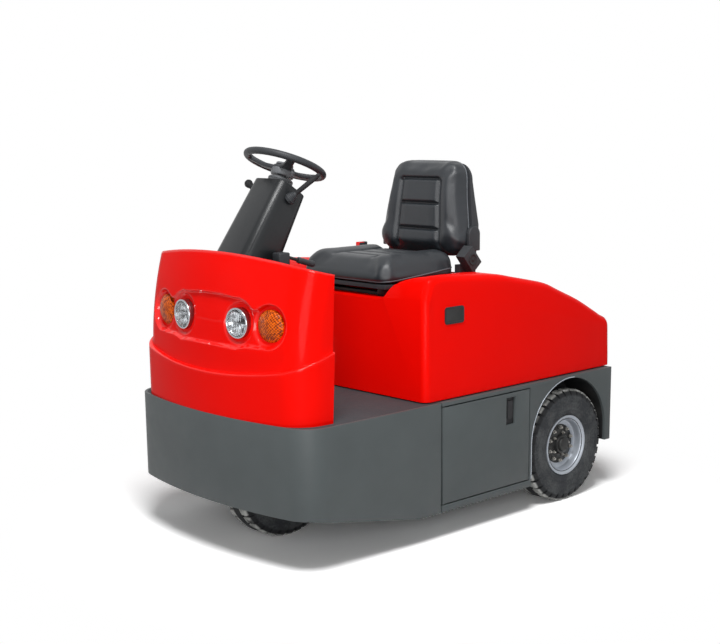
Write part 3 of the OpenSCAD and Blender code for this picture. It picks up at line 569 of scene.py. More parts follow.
def arch_lips_painted_highlight():
    """Folded edge along the front half of each wheel arch, in light rim paint as a painted highlight."""
    parts = []
    for side in (1, -1):
        line = []
        for angle in map(math.radians, range(84, 181, 4)):
            along, up = ARCH_R * math.cos(angle), ARCH_R * math.sin(angle)
            line.append((side * ARCH_FACE, REAR_AXLE_Y + along, ARCH_Z + up))
        line.append((side * ARCH_FACE, REAR_AXLE_Y - ARCH_R, ARCH_FOOT))
        parts.append(tube(line, ARCH_BEAD))
    piece("arch_lips_painted_highlight", joined(*parts), [RIM], [], 40, BODY_OF["main_frame"], SLOT_OF["main_frame"])


# Cowl

COWL_HALF = 0.465
COWL_BOW = 1.7
COWL_CORNER = 0.115
FACE_NOSE = -0.88
BAND_STEP = 0.017
BAND_FLARE = 0.01
DECK_Z = 0.526
COWL_REAR = -0.695
LAMP_Z = 0.857
HEADLAMP_X = 0.162
INDICATOR_X = 0.311
HEADLAMP_Y = -0.862
INDICATOR_Y = -0.845
CUP_R = 0.072
CUP_DEPTH = 0.009
MASK_DEPTH = 0.012
COWL_WALL = 0.008
BELOW_CREASE = 0.012
CORNER_X = COWL_HALF - COWL_CORNER
CORNER_TURN = math.asin(CORNER_X / (COWL_BOW - COWL_CORNER))
CORNER_BACK = COWL_BOW - math.sqrt((COWL_BOW - COWL_CORNER) ** 2 - CORNER_X ** 2)


def cowl_lean(z):
    return 0.42 * max(0.0, z - 0.7) ** 2


def cowl_rear(z):
    return COWL_REAR + (z - DECK_Z) * math.tan(math.radians(2.7))


def crease_z(x, y):
    return 0.677 + (y + 0.897) * math.tan(math.radians(17)) + x * x / (2 * 3.85)


def crest_z(x, y):
    return 1.096 - (y + 0.825) * math.tan(math.radians(12)) - x * x / (2 * 3.7)


def round_gap(x, z, cx, cz, radius):
    return math.hypot(x - cx, z - cz) - radius


def box_gap(x, z, x0, x1, z0, z1):
    dx = max(x0 - x, x - x1)
    dz = max(z0 - z, z - z1)
    return math.hypot(max(dx, 0), max(dz, 0)) + min(max(dx, dz), 0)


def merged_gap(gaps, blend):
    total = gaps[0]
    for gap in gaps[1:]:
        h = max(blend - abs(total - gap), 0) / blend
        total = min(total, gap) - h * h * blend / 4
    return total


def mask_gap(x, z):
    """Distance outside the lamp mask's outline, seen from the front."""
    x = abs(x)
    roof = max(math.hypot(x, z + 0.2) - 1.15, box_gap(x, z, -1, 0.162, LAMP_Z - 0.005, 2))
    return merged_gap([
        round_gap(x, z, HEADLAMP_X, LAMP_Z, 0.083), round_gap(x, z, INDICATOR_X, LAMP_Z, 0.074),
        box_gap(x, z, 0.1965, 0.2765, 0.783, 0.907), box_gap(x, z, -1, HEADLAMP_X, 0.774, LAMP_Z), roof], 0.012)


def cup_gap(x, z, radius):
    """Distance outside a circle round the nearer lamp, seen from the front."""
    return min(round_gap(abs(x), z, lamp, LAMP_Z, radius) for lamp in (HEADLAMP_X, INDICATOR_X))


def mask_depth(x, z):
    depth = MASK_DEPTH * smooth(0.004, -0.004, mask_gap(x, z))
    return depth + CUP_DEPTH * smooth(0.003, -0.005, cup_gap(x, z, CUP_R))


BOW_STEPS, CORNER_STEPS, SIDE_STEPS = 100, 36, 8
BAND_ROWS, FACE_ROWS = 16, 112
LEDGE_SHINE = (0.2, 0.7, 1.0, 0.5, 0.1, 0.0)
LEDGE = [(-0.0045, 1.0), (-0.0018, 0.97), (-0.0004, 0.87), (0.0004, 0.35), (0.0016, 0.06), (0.005, 0.0)]


def mask_shine(x, z):
    """Share of polish on the mask's lip and on the rims of the lamp cups."""
    lip = smooth(0.007, 0.002, abs(mask_gap(x, z)))
    return max(lip, 0.7 * smooth(0.006, 0.002, abs(cup_gap(x, z, CUP_R))))


def cowl_point(column, z, band, sunk=0.0):
    """Point on the cowl's outside, by column from the middle, height, share of the band's step and depth."""
    nose = FACE_NOSE + cowl_lean(z)
    if column <= BOW_STEPS:
        angle = CORNER_TURN * column / BOW_STEPS
        out = Vector((math.sin(angle), -math.cos(angle), 0))
        place = Vector((0, nose + COWL_BOW, z)) + COWL_BOW * out
    else:
        turn = min(1.0, (column - BOW_STEPS) / CORNER_STEPS)
        angle = CORNER_TURN + (math.pi / 2 - CORNER_TURN) * turn
        out = Vector((math.sin(angle), -math.cos(angle), 0))
        place = Vector((CORNER_X, nose + CORNER_BACK, z)) + COWL_CORNER * out
    along_side = max(0.0, (column - BOW_STEPS - CORNER_STEPS) / SIDE_STEPS)
    place += band * (BAND_FLARE * out - Vector((0, BAND_STEP - BAND_FLARE, 0)))
    place.y += (cowl_rear(z) - place.y) * along_side
    return place - out * sunk


def cowl():
    columns = BOW_STEPS + CORNER_STEPS + SIDE_STEPS
    rows = BAND_ROWS + len(LEDGE) + FACE_ROWS
    bm = bmesh.new()
    bmesh.ops.create_grid(bm, x_segments=columns, y_segments=rows - 1, size=1)
    breaks, tops = [], []
    for column in range(columns + 1):
        low, top = 0.68, 1.06
        for _ in range(5):
            place = cowl_point(column, low, 1.0)
            low = crease_z(place.x, place.y)
            place = cowl_point(column, top, 0.0)
            top = crest_z(place.x, place.y)
        breaks.append(low)
        tops.append(top)
    shine = bm.verts.layers.float.new("lip")
    for vert in bm.verts:
        column = round((vert.co.x + 1) / 2 * columns)
        row = round((vert.co.y + 1) / 2 * (rows - 1))
        crease, top = breaks[column], tops[column]
        if row < BAND_ROWS:
            z, band = DECK_Z + (crease - BELOW_CREASE - DECK_Z) * row / (BAND_ROWS - 1), 1.0
        elif row < BAND_ROWS + len(LEDGE):
            rise, band = LEDGE[row - BAND_ROWS]
            z = crease + rise
            vert[shine] = LEDGE_SHINE[row - BAND_ROWS]
        else:
            t = (row - BAND_ROWS - len(LEDGE) + 1) / FACE_ROWS
            foot = crease + LEDGE[-1][0]
            z, band = foot + (top - foot) * t, 0.0
        place = cowl_point(column, z, band)
        if row >= BAND_ROWS + len(LEDGE):
            vert[shine] = max(mask_shine(place.x, z), smooth(0.975, 0.99, t))
            place = cowl_point(column, z, band, mask_depth(place.x, z))
        vert.co = place

    hidden = [face for face in bm.faces if all(cup_gap(v.co.x, v.co.z, 0.05) < 0 for v in face.verts)]
    bmesh.ops.delete(bm, geom=hidden, context="FACES")
    bmesh.ops.mirror(bm, geom=everything(bm), matrix=HERE, merge_dist=1e-5, axis="X")
    outwards(bm)
    if sum(face.normal.y for face in bm.faces) > 0:
        bmesh.ops.reverse_faces(bm, faces=bm.faces)
    bmesh.ops.solidify(bm, geom=list(bm.faces), thickness=COWL_WALL)
    rim = [e for e in creases(bm, 60) if all(cup_gap(v.co.x, v.co.z, 0.062) > 0 for v in e.verts)]
    soften(bm, rim, 0.0022, 2)
    piece("cowl_shell", bm, [RED], ["front_cowl"], 40)


# Lamps

HEADLAMP_BOWL = mm(
    "54.8 -70, 54.8 -6, 54.3 -3, 52.8 -0.5, 50.5 0.4, 48.2 -0.6, 46.8 -3, 46.2 -8, 44.5 -10.5, 38 -17.5, "
    "29 -23.5, 18 -28, 8 -30.2, 6.5 -30.2, 6.2 -19, 4.5 -16.5, 0 -15.8, 0 -70")
HEADLAMP_LENS = mm(
    "0 5, 9 4.8, 18 4.2, 27 3.2, 36 1.8, 42.5 0.4, 45.5 -0.8, 45.8 -4.5, 44.5 -5, 36 -1.2, 27 0.4, 18 1.4, "
    "9 2, 0 2.2")
BEZEL_R = 0.0455
DOME = 0.088
TAIL_LAMP = (0.373, 0.852, 0.623)


def lamp_place(x, y):
    """Place of a lamp that looks square out of the bowed cowl."""
    return at(x, y, LAMP_Z) @ Matrix.Rotation(math.asin(x / COWL_BOW), 4, "Z") @ FORWARD


def headlamps():
    for side, name in ((1, "left"), (-1, "right")):
        place = lamp_place(side * HEADLAMP_X, HEADLAMP_Y)
        inward = place.inverted()
        bowl = tinted(lathe(HEADLAMP_BOWL, 72, place), 1, lambda face: (
            (inward @ face.calc_center_median()).xy.length < BEZEL_R))
        piece("headlamp_" + name, bowl, [CHROME, REFLECTOR], [], 40, "chassis", "chrome")
        lens = lathe(HEADLAMP_LENS, 72, place)
        piece("headlamp_lens_" + name, lens, [CLEAR], [], 40, "chassis", "clear_lens")
    for node in ("headlamp_bodies", "headlamp_lenses"):
        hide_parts(node)


def indicators():
    parts = []
    for side in (1, -1):
        place = lamp_place(side * INDICATOR_X, INDICATOR_Y)
        angles = [math.radians(3.3 * i) for i in range(13)]
        dome = [(DOME * math.sin(a), -DOME * (1 - math.cos(a))) for a in angles]
        parts.append(lathe(dome + [(0.0568, -0.023), (0.0568, -0.06), (0.0, -0.06)], 72, place))
    piece("indicator_lenses_moulded", joined(*parts), [AMBER], ["indicator_lenses"], 40)


def tail_lamps():
    parts = []
    x, y, z = TAIL_LAMP
    for side in (1, -1):
        place = at(side * x, y, z) @ BACKWARD
        parts.append(lathe(mm("0 12.8, 12 12.6, 24 11.9, 33 10.5, 36.5 9, 38 6.5, 38.5 -5, 0 -5"), 64, place))
        parts.append(tinted(lathe(mm(
            "38.3 -20, 38.3 6.5, 39.5 8.2, 41.8 8.2, 43.4 6.6, 43.8 3, 43.8 -20"), 64, place), 1))
    piece("tail_lamps_moulded", joined(*parts), [TAIL_RED, RUBBER], ["tail_lamps"], 40)


# Hood

HOOD_HALF = 0.488
HOOD_EDGE = 0.03
HOOD_FRONT = -0.26
HOOD_REAR = 0.852
HOOD_WALL = 0.005
HOOD_LOW = 0.531
HOOD_LIP = 0.08
HINGE_X = 0.28
HINGE_Y = 0.862
HINGE_Z = 0.543
KNUCKLE = 0.04
HOOD_CROWN = mm(
    "0 374, 10 408, 20 436, 31 452, 44 460, 62 464, 110 465, 276 454, 409 442, 502 424, 598 405, 696 383, "
    "788 346, 901 300, 1010 245, 1049 223.5")
RECESS_FLOOR = 0.891
RECESS_REAR = 0.345
RECESS_SIDE = mm(
    "215 0, 240 1.2, 256 4, 268 10, 277 20, 287 34, 297 45, 310 56, 327 65, 350 75, 380 84, 415 92, "
    "461 100, 468 108, 474 200")


def flowing(points, steps):
    """Smooth line through the points."""
    line = []
    padded = [points[0]] + list(points) + [points[-1]]
    for a, b, c, d in zip(padded, padded[1:], padded[2:], padded[3:]):
        for i in range(steps):
            t = i / steps
            line.append(tuple(
                0.5 * (2 * q + (r - p) * t + (2 * p - 5 * q + 4 * r - s) * t * t + (3 * q - p - 3 * r + s) * t ** 3)
                for p, q, r, s in zip(a, b, c, d)))
    return line + [tuple(points[-1])]


def corner_arc(cx, cz, radius, first, last, steps):
    return [(cx + radius * math.cos(math.radians(first + (last - first) * i / steps)),
             cz + radius * math.sin(math.radians(first + (last - first) * i / steps))) for i in range(steps + 1)]


def hood_outline(inset):
    """Side outline of the hood, drawn in by inset, as distance behind the front face and height over the deck."""
    line = [(0.0, -0.12)] + flowing(HOOD_CROWN, 5)
    line += corner_arc(1.0535, 0.166, 0.052, 58, 6, 7) + [(1.1095, 0.08), (1.112, 0.034), (1.112, -0.12)]
    moved = []
    for i, point in enumerate(line):
        before = Vector(line[max(i - 1, 0)])
        after = Vector(line[min(i + 1, len(line) - 1)])
        along = (after - before).normalized()
        moved.append((point[0] + along.y * inset, point[1] - along.x * inset))
    return moved


def hood_skin():
    """Closed body of the hood with round edges, before the seat recess is cut."""
    bm = bmesh.new()
    loops = []
    angles = [90, 75, 60, 45, 30, 15, 0]
    stations = [(-HOOD_HALF + HOOD_EDGE * (1 - math.sin(math.radians(a))), a) for a in angles]
    stations += [(-x, a) for x, a in reversed(stations)]
    for x, angle in stations:
        outline = hood_outline(HOOD_EDGE * (1 - math.cos(math.radians(angle))))
        verts = [bm.verts.new((x, HOOD_FRONT + y, DECK_Z + z)) for y, z in outline]
        loops.append([bm.edges.new(pair) for pair in zip(verts, verts[1:] + verts[:1])])
        if len(loops) in (1, len(stations)):
            bm.faces.new(verts)
    for near, far in zip(loops, loops[1:]):
        bmesh.ops.bridge_loops(bm, edges=near + far)
    outwards(bm)
    cut = bmesh.ops.bisect_plane(bm, geom=everything(bm), dist=1e-6, plane_co=(0, 0, HOOD_LOW), plane_no=(0, 0, 1),
                                 clear_inner=True)
    bmesh.ops.holes_fill(bm, edges=edges_of(cut["geom_cut"]), sides=0)
    return settled(bm)


def recess_tool():
    line = flowing(RECESS_SIDE, 3)
    outline = [(-x, RECESS_FLOOR + z) for x, z in reversed(line)] + [(x, RECESS_FLOOR + z) for x, z in line]
    place = at(0, RECESS_REAR, 0) @ FORWARD
    return prism(outline, RECESS_REAR - HOOD_FRONT + 0.1, place)


def hood():
    body = scratch(hood_skin(), "hood_body")
    tool = scratch(recess_tool(), "recess_tool")
    cut = body.modifiers.new("seat_recess", "BOOLEAN")
    cut.operation = "DIFFERENCE"
    cut.solver = "EXACT"
    cut.object = tool
    bm = from_object(body)
    bpy.data.objects.remove(tool)
    flattened(merged(bm), 0.4)
    floor = [face for face in bm.faces if face.normal.z < -0.9]
    bmesh.ops.delete(bm, geom=floor, context="FACES")
    edges = [e for e in creases(bm, 38) if min(v.co.z for v in e.verts) > 0.6]
    soften(bm, edges, 0.009, 3)
    middle = (HOOD_FRONT + HOOD_REAR) / 2
    for inward, upward in ((HOOD_WALL, 0.0), (0.0, HOOD_LIP)):
        rim = [e for e in bm.edges if len(e.link_faces) == 1]
        grown = bmesh.ops.extrude_edge_only(bm, edges=rim)["geom"]
        for vert in points_of(grown):
            vert.co += Vector((math.copysign(inward, -vert.co.x), math.copysign(inward, middle - vert.co.y), upward))
    outwards(bm)
    knuckles = []
    for side in (1, -1):
        x0 = side * HINGE_X - KNUCKLE / 2
        knuckles.append(lathe([
            (0.0043, 0), (0.0075, 0), (0.008, 0.0005), (0.008, KNUCKLE - 0.0005), (0.0075, KNUCKLE),
            (0.0043, KNUCKLE)], 32, at(x0, HINGE_Y, HINGE_Z) @ ACROSS))
        knuckles.append(block((x0, HINGE_Y - 0.013, HINGE_Z), (x0 + KNUCKLE, HINGE_Y, HINGE_Z + 0.008), 0.001))
    piece("hood_shell", joined(bm, *knuckles), [RED], ["hood"], 34)


def hood_handles():
    bm = plain_copy("hood_handles")
    low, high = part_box("hood_handles")
    tinted(bm, 1, lambda face: high.x - abs(face.calc_center_median().x) > 0.0008 and abs(face.normal.x) > 0.9)
    soften(bm, creases(bm, 40), 0.0012, 2)
    piece("hood_handles_moulded", bm, [RUBBER, BLACK], ["hood_handles"])


# Wheels

AXLE_Z = 0.2325
TYRE_R = 0.2325
LUGS = 34
LUG_WIDTH = 0.0298
CARCASS = mm(
    "108.3 0, 108.3 51.5, 124.5 51.5, 127 54.5, 131 58, 137 60.5, 144 62.2, 146.2 62.6, 147.5 63.8, "
    "150.5 64.1, 151.8 63.3, 160 64.2, 170 64.8, 178.5 64.8, 180 64.2, 181.5 64.8, 186 64.6, 188.5 64.4, "
    "196 63.6, 201.5 62.8, 204 61.2, 208.5 58.2, 216.5 52.2, 220.5 48, 221.6 40, 221.8 22.2, 222.8 21.2, "
    "231.5 20.5, 232.5 19.5, 232.5 0")
LUG_SIDE = mm(
    "218.5 19.5, 232.5 20.5, 232.5 45.5, 231.2 49.2, 214 61.6, 204.5 63.2, 199.5 63.4, 200 59.5, 208.5 55, "
    "218.5 45")


def one_lug():
    """Tread block, turned from its side outline through its own width."""
    width = LUG_WIDTH / TYRE_R
    bm = bmesh.new()
    verts = [bm.verts.new((radius, 0, x)) for radius, x in LUG_SIDE]
    face = bm.faces.new(verts)
    bmesh.ops.rotate(bm, verts=verts, cent=(0, 0, 0), matrix=Matrix.Rotation(-width / 2, 3, "Z"))
    bmesh.ops.spin(bm, geom=[face] + list(face.edges) + verts, cent=(0, 0, 0), axis=(0, 0, 1), dvec=(0, 0, 0),
                   angle=width, steps=2, use_merge=False, use_normal_flip=False, use_duplicate=False)
    outwards(merged(bm, 1e-6))
    tips = [e for e in creases(bm, 30) if min(math.hypot(v.co.x, v.co.y) for v in e.verts) > 0.2035]
    return soften(bm, tips, 0.0014, 2)


def tyre(name, node, x, y):
    steps = 6 * LUGS
    side = lathe(CARCASS, steps, closed=False)
    for vert in side.verts:
        radius = math.hypot(vert.co.x, vert.co.y)
        if 0.187 < radius < 0.2025:
            index = round(math.atan2(vert.co.y, vert.co.x) / (2 * math.pi / steps))
            vert.co.z += 0.0013 if index % 2 else -0.0006
    parts = [side, turned(side, Matrix.Diagonal((1, 1, -1, 1)))]
    lug = one_lug()
    for step in range(LUGS):
        for half, mirrored in ((0.0, 1), (0.5, -1)):
            spin = Matrix.Rotation(2 * math.pi * (step + half) / LUGS, 4, "Z")
            parts.append(turned(lug, spin @ Matrix.Diagonal((1, 1, mirrored, 1))))
    lug.free()
    whole = settled(joined(*parts[:2]))
    carcass_points = len(whole.verts)
    bm = joined(whole, *parts[2:])
    reach = bm.verts.layers.float.new("reach")
    on_lug = bm.verts.layers.float.new("lug")
    for index, vert in enumerate(bm.verts):
        vert[reach] = math.hypot(vert.co.x, vert.co.y)
        vert[on_lug] = 1.0 if index >= carcass_points else 0.0
    piece(name, moved(bm, at(x, y, AXLE_Z) @ ACROSS), [TYRE], [node], 38)


RIM_SECTION = mm(
    "123.6 51.2, 124.2 54.5, 123.2 57.2, 120.5 58.4, 117.5 57.8, 115 55.5, 112.5 52.2, 108.5 50.2, "
    "106.2 48.5, 105.2 45.5, 104 36, 102.8 26, 100 19.5, 94.5 16.5, 88 16.2, 40 16.2, 40 8, 100 8, "
    "100 -58, 123.6 -58, 123.6 -51.5, 108 -51.2, 108 50.8")
HUB_SECTION = mm(
    "0 51.5, 20 51.2, 26.5 49.5, 29 46.5, 30 40.5, 34.5 40, 38 38.5, 39.8 35, 40.2 28.5, 42.5 24.5, "
    "47.5 22.8, 60 21.8, 78 20.5, 81 19, 81.5 16.3, 39 16.3, 39 -60, 26 -60, 26 24, 0 24")


def hex_nut(radius, height):
    bm = bmesh.new()
    bmesh.ops.create_cone(bm, cap_ends=True, segments=6, radius1=radius, radius2=radius, depth=height)
    bmesh.ops.translate(bm, vec=(0, 0, height / 2), verts=bm.verts)
    soften(bm, [e for e in bm.edges if min(v.co.z for v in e.verts) > height / 2], height * 0.14, 2)
    return bm


def stud_ring(count, ring, nut, height, base, stud, turn=0.0):
    """Nuts with studs standing out of them, round a hub."""
    parts = []
    for i in range(count):
        angle = 2 * math.pi * i / count + turn
        place = at(ring * math.cos(angle), ring * math.sin(angle), base) @ Matrix.Rotation(angle * 2.3, 4, "Z")
        model = hex_nut(nut, height)
        parts.append(turned(model, place))
        model.free()
        thread = nut * 0.55
        parts.append(lathe([
            (0.0, stud), (nut * 0.42, stud), (thread, stud - 0.0012), (thread, 0.0), (0.0, 0.0)], 16, place))
    return parts


def rear_wheel(side, name):
    x = side * REAR_TRACK
    place = at(x, REAR_AXLE_Y, AXLE_Z) @ (spun(180, "Z") if side < 0 else HERE) @ ACROSS
    tyre("rear_tyre_%s_treaded" % name, "rear_tyre_" + name, x, REAR_AXLE_Y)
    piece("rear_rim_%s_pressed" % name, lathe(RIM_SECTION, 96, place), [RIM], ["rear_rim_" + name], 36)
    nuts = stud_ring(10, 0.07, 0.0085, 0.009, 0.0205, 0.016)
    studs = stud_ring(5, 0.0485, 0.0062, 0.007, 0.0222, 0.0135, 0.3)
    metal = moved(joined(*nuts, *studs), place)
    hub = joined(lathe(HUB_SECTION, 72, place), tinted(metal, 1))
    piece("rear_hub_%s_cast" % name, hub, [IRON, DULL_STEEL], ["rear_hub_" + name], 32)


def front_wheel():
    tyre("front_tyre_treaded", "front_tyre", 0.0, FRONT_AXLE_Y)
    dressed("front_rim", RIM, 0.0015)


# Steering

STEER = at(0, -0.495, 1.387)
COLUMN = STEER @ spun(-33, "X")
SHAFT = STEER @ spun(-22, "X")
GRIP_RING = 0.143
GRIP = 0.013
FINGER_BUMPS = 36
SPOKE = (0.109, 0.04, 0.014)
SPOKE_MIDDLE = (0.0855, 0, -0.0155)
BOSS_SEAM = -0.022
BELLOWS_TOP = 0.026


def steering_wheel():
    section = [(GRIP_RING + GRIP * math.cos(2 * math.pi * i / 20), GRIP * math.sin(2 * math.pi * i / 20))
               for i in range(20)]
    ring = lathe(section, 6 * FINGER_BUMPS)
    for vert in ring.verts:
        flat = Vector((vert.co.x, vert.co.y, 0))
        inward = max(0.0, (GRIP_RING - flat.length) / GRIP)
        wave = math.cos(FINGER_BUMPS * math.atan2(vert.co.y, vert.co.x))
        vert.co -= flat.normalized() * inward * (0.0012 + 0.0016 * wave)
    parts = [ring]
    for degrees in (90, 210, 330):
        arm = bmesh.new()
        bmesh.ops.create_cube(arm, size=1)
        bmesh.ops.scale(arm, vec=SPOKE, verts=arm.verts)
        bmesh.ops.translate(arm, vec=SPOKE_MIDDLE, verts=arm.verts)
        lengthwise = [e for e in arm.edges if abs(e.verts[0].co.x - e.verts[1].co.x) > 0.05]
        bmesh.ops.subdivide_edges(arm, edges=lengthwise, cuts=5)
        for vert in arm.verts:
            t = (vert.co.x - SPOKE_MIDDLE[0]) / SPOKE[0] + 0.5
            vert.co.y *= 1.18 - 0.42 * math.sin(math.pi * min(1, max(0, t)) * 0.62)
            vert.co.z += 0.012 * smooth(0.35, 1.0, t) - 0.004 * (1 - t)
        soften(arm, creases(arm, 40), 0.004, 3)
        parts.append(settled(arm, spun(degrees, "Z")))
    boss = lathe(mm(
        "0 -7.5, 29 -7.5, 31.5 -9, 35 -9.2, 38.5 -11, 40.5 -15, 41 -22, 43.2 -23.5, 43.8 -26, 42.5 -44, "
        "41 -46, 15.5 -46, 15.5 -13.5, 0 -13.5"), 64)
    tinted(boss, 1, lambda face: face.calc_center_median().z < BOSS_SEAM)
    wheel = moved(joined(*parts, boss), SHAFT)
    piece("steering_wheel_moulded", wheel, [PLASTIC, GREY_PLASTIC], ["steering_wheel"], 40)
    cap = lathe(mm("0 4.2, 12 4, 21 3.2, 26.5 1.6, 29 -1.2, 29.6 -6, 0 -6"), 56)
    rim = tinted(lathe(mm("29.7 -5.8, 29.7 0, 30.5 0.8, 31.8 0.4, 32.2 -1.2, 32.2 -6.2"), 56), 1)
    piece("horn_button", moved(joined(cap, rim), SHAFT), [PLASTIC, GREY_PLASTIC], ["horn_cap"], 40)


def column():
    bm = plain_copy("column_cover")
    soften(bm, creases(bm, 40), 0.004, 3)
    piece("column_cover_moulded", bm, [COVER_PLASTIC], ["column_cover"], 34)
    collar = lathe(mm(
        "0 -30, 14.8 -30, 14.8 -53, 38 -53.5, 43.2 -55, 46 -58, 46.6 -63, 45.2 -64.2, 45.2 -65.8, "
        "46.6 -67, 46.6 -98, 0 -98"), 64, SHAFT)
    piece("column_collar_moulded", collar, [GREY_PLASTIC], ["column_collar"], 36)
    parts = []
    for side, length, knob, lean, turn in ((1, 0.13, 0.008, 42, 2), (-1, 0.068, 0.016, 62, -30)):
        place = COLUMN @ at(side * 0.091, 0.02, -0.124) @ spun(side * turn, "Z") @ spun(side * lean, "Y")
        ribs = [(0.0, -0.012), (0.0225, -0.012)]
        for i in range(5):
            size, height = 0.0228 - 0.0026 * i, 0.005 * i
            ribs += [(size, -0.004 + height), (size + 0.0004, -0.002 + height), (size - 0.0022, -0.0002 + height)]
        ribs += [(0.0095, 0.0235), (0.0078, BELLOWS_TOP), (0.0074, 0.03), (0.0088, 0.036), (0.0098, length - 0.014)]
        ribs += [(knob * 0.82, length - knob * 0.62), (knob, length), (knob * 0.92, length + knob * 0.4),
                 (knob * 0.66, length + knob * 0.76), (knob * 0.3, length + knob * 0.96), (0.0, length + knob)]
        inward = place.inverted()
        parts.append(tinted(lathe(ribs, 40, place), 1, lambda face: (
            (inward @ face.calc_center_median()).z < BELLOWS_TOP)))
    piece("column_levers_moulded", joined(*parts), [RUBBER, PLASTIC], ["column_levers"], 40)


def foot_of(node):
    """Middle of a CAD node's underside."""
    low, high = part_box(node)
    return at((low.x + high.x) / 2, (low.y + high.y) / 2, low.z)


def brake_and_switches():
    base = block((0.104, -0.65, 1.026), (0.148, -0.6, 1.083), 0.006, 3)
    place = at(0.126, -0.602, 1.066) @ spun(-106, "X")
    rod = tinted(lathe(mm("0 0, 6 0, 6 60, 0 60"), 24, place), 1)
    ridges = [(0.0104 if i % 2 else 0.0117, 0.064 + 0.0075 * i) for i in range(8)]
    grip = lathe([(0.0, 0.055), (0.0095, 0.055), (0.0114, 0.0575)] + ridges + mm(
        "11.8 124, 11.2 131, 8 134.5, 0 135"), 32, place)
    piece("parking_brake_lever", joined(base, rod, grip), [PLASTIC, BLACK], ["parking_brake"], 38)
    place = foot_of("stop_button")
    stem = tinted(lathe(mm("0 0, 19 0, 19 4, 17.5 6, 14.5 6.5, 14 20, 0 20"), 40, place), 1)
    cap = lathe(mm("0 36, 8 35.8, 15 34.8, 19.2 32.5, 21 29, 20.8 23.5, 19.5 20.5, 0 20.5"), 48, place)
    piece("stop_button_mushroom", joined(cap, stem), [STOP_RED, PLASTIC], ["stop_button"], 38)
    place = foot_of("key_switch")
    barrel = lathe(mm("0 0, 15 0, 15 3, 13.8 5, 12.5 5.5, 12.5 12.5, 11.5 14, 0 14"), 40, place)
    key = tinted(block((-0.002, -0.011, 0.013), (0.002, 0.011, 0.034), 0.0012, 2, place), 1)
    piece("key_switch_barrel", joined(barrel, key), [STEEL, PLASTIC], ["key_switch"], 36)


def dash():
    dressed("dash_console", PLASTIC, 0.005, 3)
    dressed("pedals", RUBBER, 0.0015)


# Seat

def seat_frame():
    dressed("seat_rails", BLACK, 0.0015)
    dressed("seat_shell", PLASTIC, 0.004, 3)
    dressed("recliner_covers", PLASTIC, 0.004, 3)
    bm = plain_copy("belt_retractor")
    covers = []
    for face in sorted(bm.faces, key=lambda face: -face.calc_area() * (abs(face.normal.x) > 0.5))[:2]:
        place = at(*face.calc_center_median()) @ face.normal.to_track_quat("Z", "Y").to_matrix().to_4x4()
        covers.append(tinted(lathe(mm(
            "0 2.2, 6 2.2, 7.5 1.2, 17 1.2, 18.5 2.8, 21.2 2.8, 22.5 1.6, 22.8 -4, 0 -4"), 40, place), 1))
    soften(bm, creases(bm, 40), 0.009, 4)
    piece("belt_retractor_case", joined(bm, *covers), [PLASTIC, RUBBER], ["belt_retractor"])
    low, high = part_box("belt_buckle")
    bm = plain_copy("belt_buckle")
    middle = (low + high) / 2
    bmesh.ops.bisect_plane(bm, geom=everything(bm), dist=1e-6, plane_co=middle + Vector((0, 0.006, 0)),
                           plane_no=(0, 1, 0))
    soften(bm, creases(bm, 40), 0.0025, 2)
    tinted(bm, 1, lambda face: (
        face.calc_center_median().z > high.z - 0.05 and face.calc_center_median().y < middle.y))
    piece("belt_buckle_case", bm, [PLASTIC, STOP_RED], ["belt_buckle"])


PAD_CELL = 0.006
PAD_RISE = 0.016
PAD_EVENING = 14
CLOTH_STEPS = 20


def plumped(node, frame_of, shrink, held):
    """Pad in its own upright frame, blown up by a cloth simulation while the points that held() picks stay put."""
    bm = moved(cad_copy(node), frame_of.inverted())
    middle = sum((vert.co for vert in bm.verts), Vector()) / len(bm.verts)
    moved(bm, at(*middle) @ Matrix.Diagonal((*shrink, 1)) @ at(*-middle))
    obj = scratch(bm, node + "_pad")
    remesh = obj.modifiers.new("even_cells", "REMESH")
    remesh.mode = "VOXEL"
    remesh.voxel_size = PAD_CELL
    obj = scratch(from_object(obj), node + "_cloth")
    rest = [vert.co.copy() for vert in obj.data.vertices]
    group = obj.vertex_groups.new(name="held")
    group.add([i for i, place in enumerate(rest) if held(place)], 1.0, "REPLACE")
    cloth = obj.modifiers.new("cover", "CLOTH")
    cover = cloth.settings
    cover.quality = 5
    cover.mass = 0.3
    cover.tension_stiffness = cover.compression_stiffness = 12
    cover.bending_stiffness = 1.0
    cover.use_pressure = True
    cover.uniform_pressure_force = 4.0
    cover.vertex_group_mass = "held"
    cover.effector_weights.gravity = 0
    for step in range(1, CLOTH_STEPS + 1):
        SCENE.frame_set(step)
    bm = from_object(obj)
    SCENE.frame_set(1)
    bm.verts.ensure_lookup_table()
    for vert, start in zip(bm.verts, rest):
        move = vert.co - start
        if move.length > PAD_RISE:
            vert.co = start + move.normalized() * PAD_RISE
    for _ in range(PAD_EVENING):
        bmesh.ops.smooth_vert(bm, verts=bm.verts, factor=0.5, use_axis_x=True, use_axis_y=True, use_axis_z=True)
    obj = scratch(bm, node + "_fine")
    finer = obj.modifiers.new("finer", "SUBSURF")
    finer.levels = finer.render_levels = 1
    return from_object(obj)


def channel(distance, width, depth):
    return depth * math.exp(-(distance / width) ** 2)


BACKREST = at(0, 0.245, 1.004) @ spun(-9, "X")
BACKREST_T = 0.066
BACKREST_H = 0.388
CUSHION_H = 0.084
SEAM_FRONT = 0.009
SEAM_RISE = 0.032
PANEL_HALF = 0.112
BACKREST_GROOVES = (0.302, 0.204, 0.102)
BACKREST_SEAM = -0.012
CUSHION_GROOVES = (0.12, 0.2, 0.28)
CUSHION_HELD = 0.016


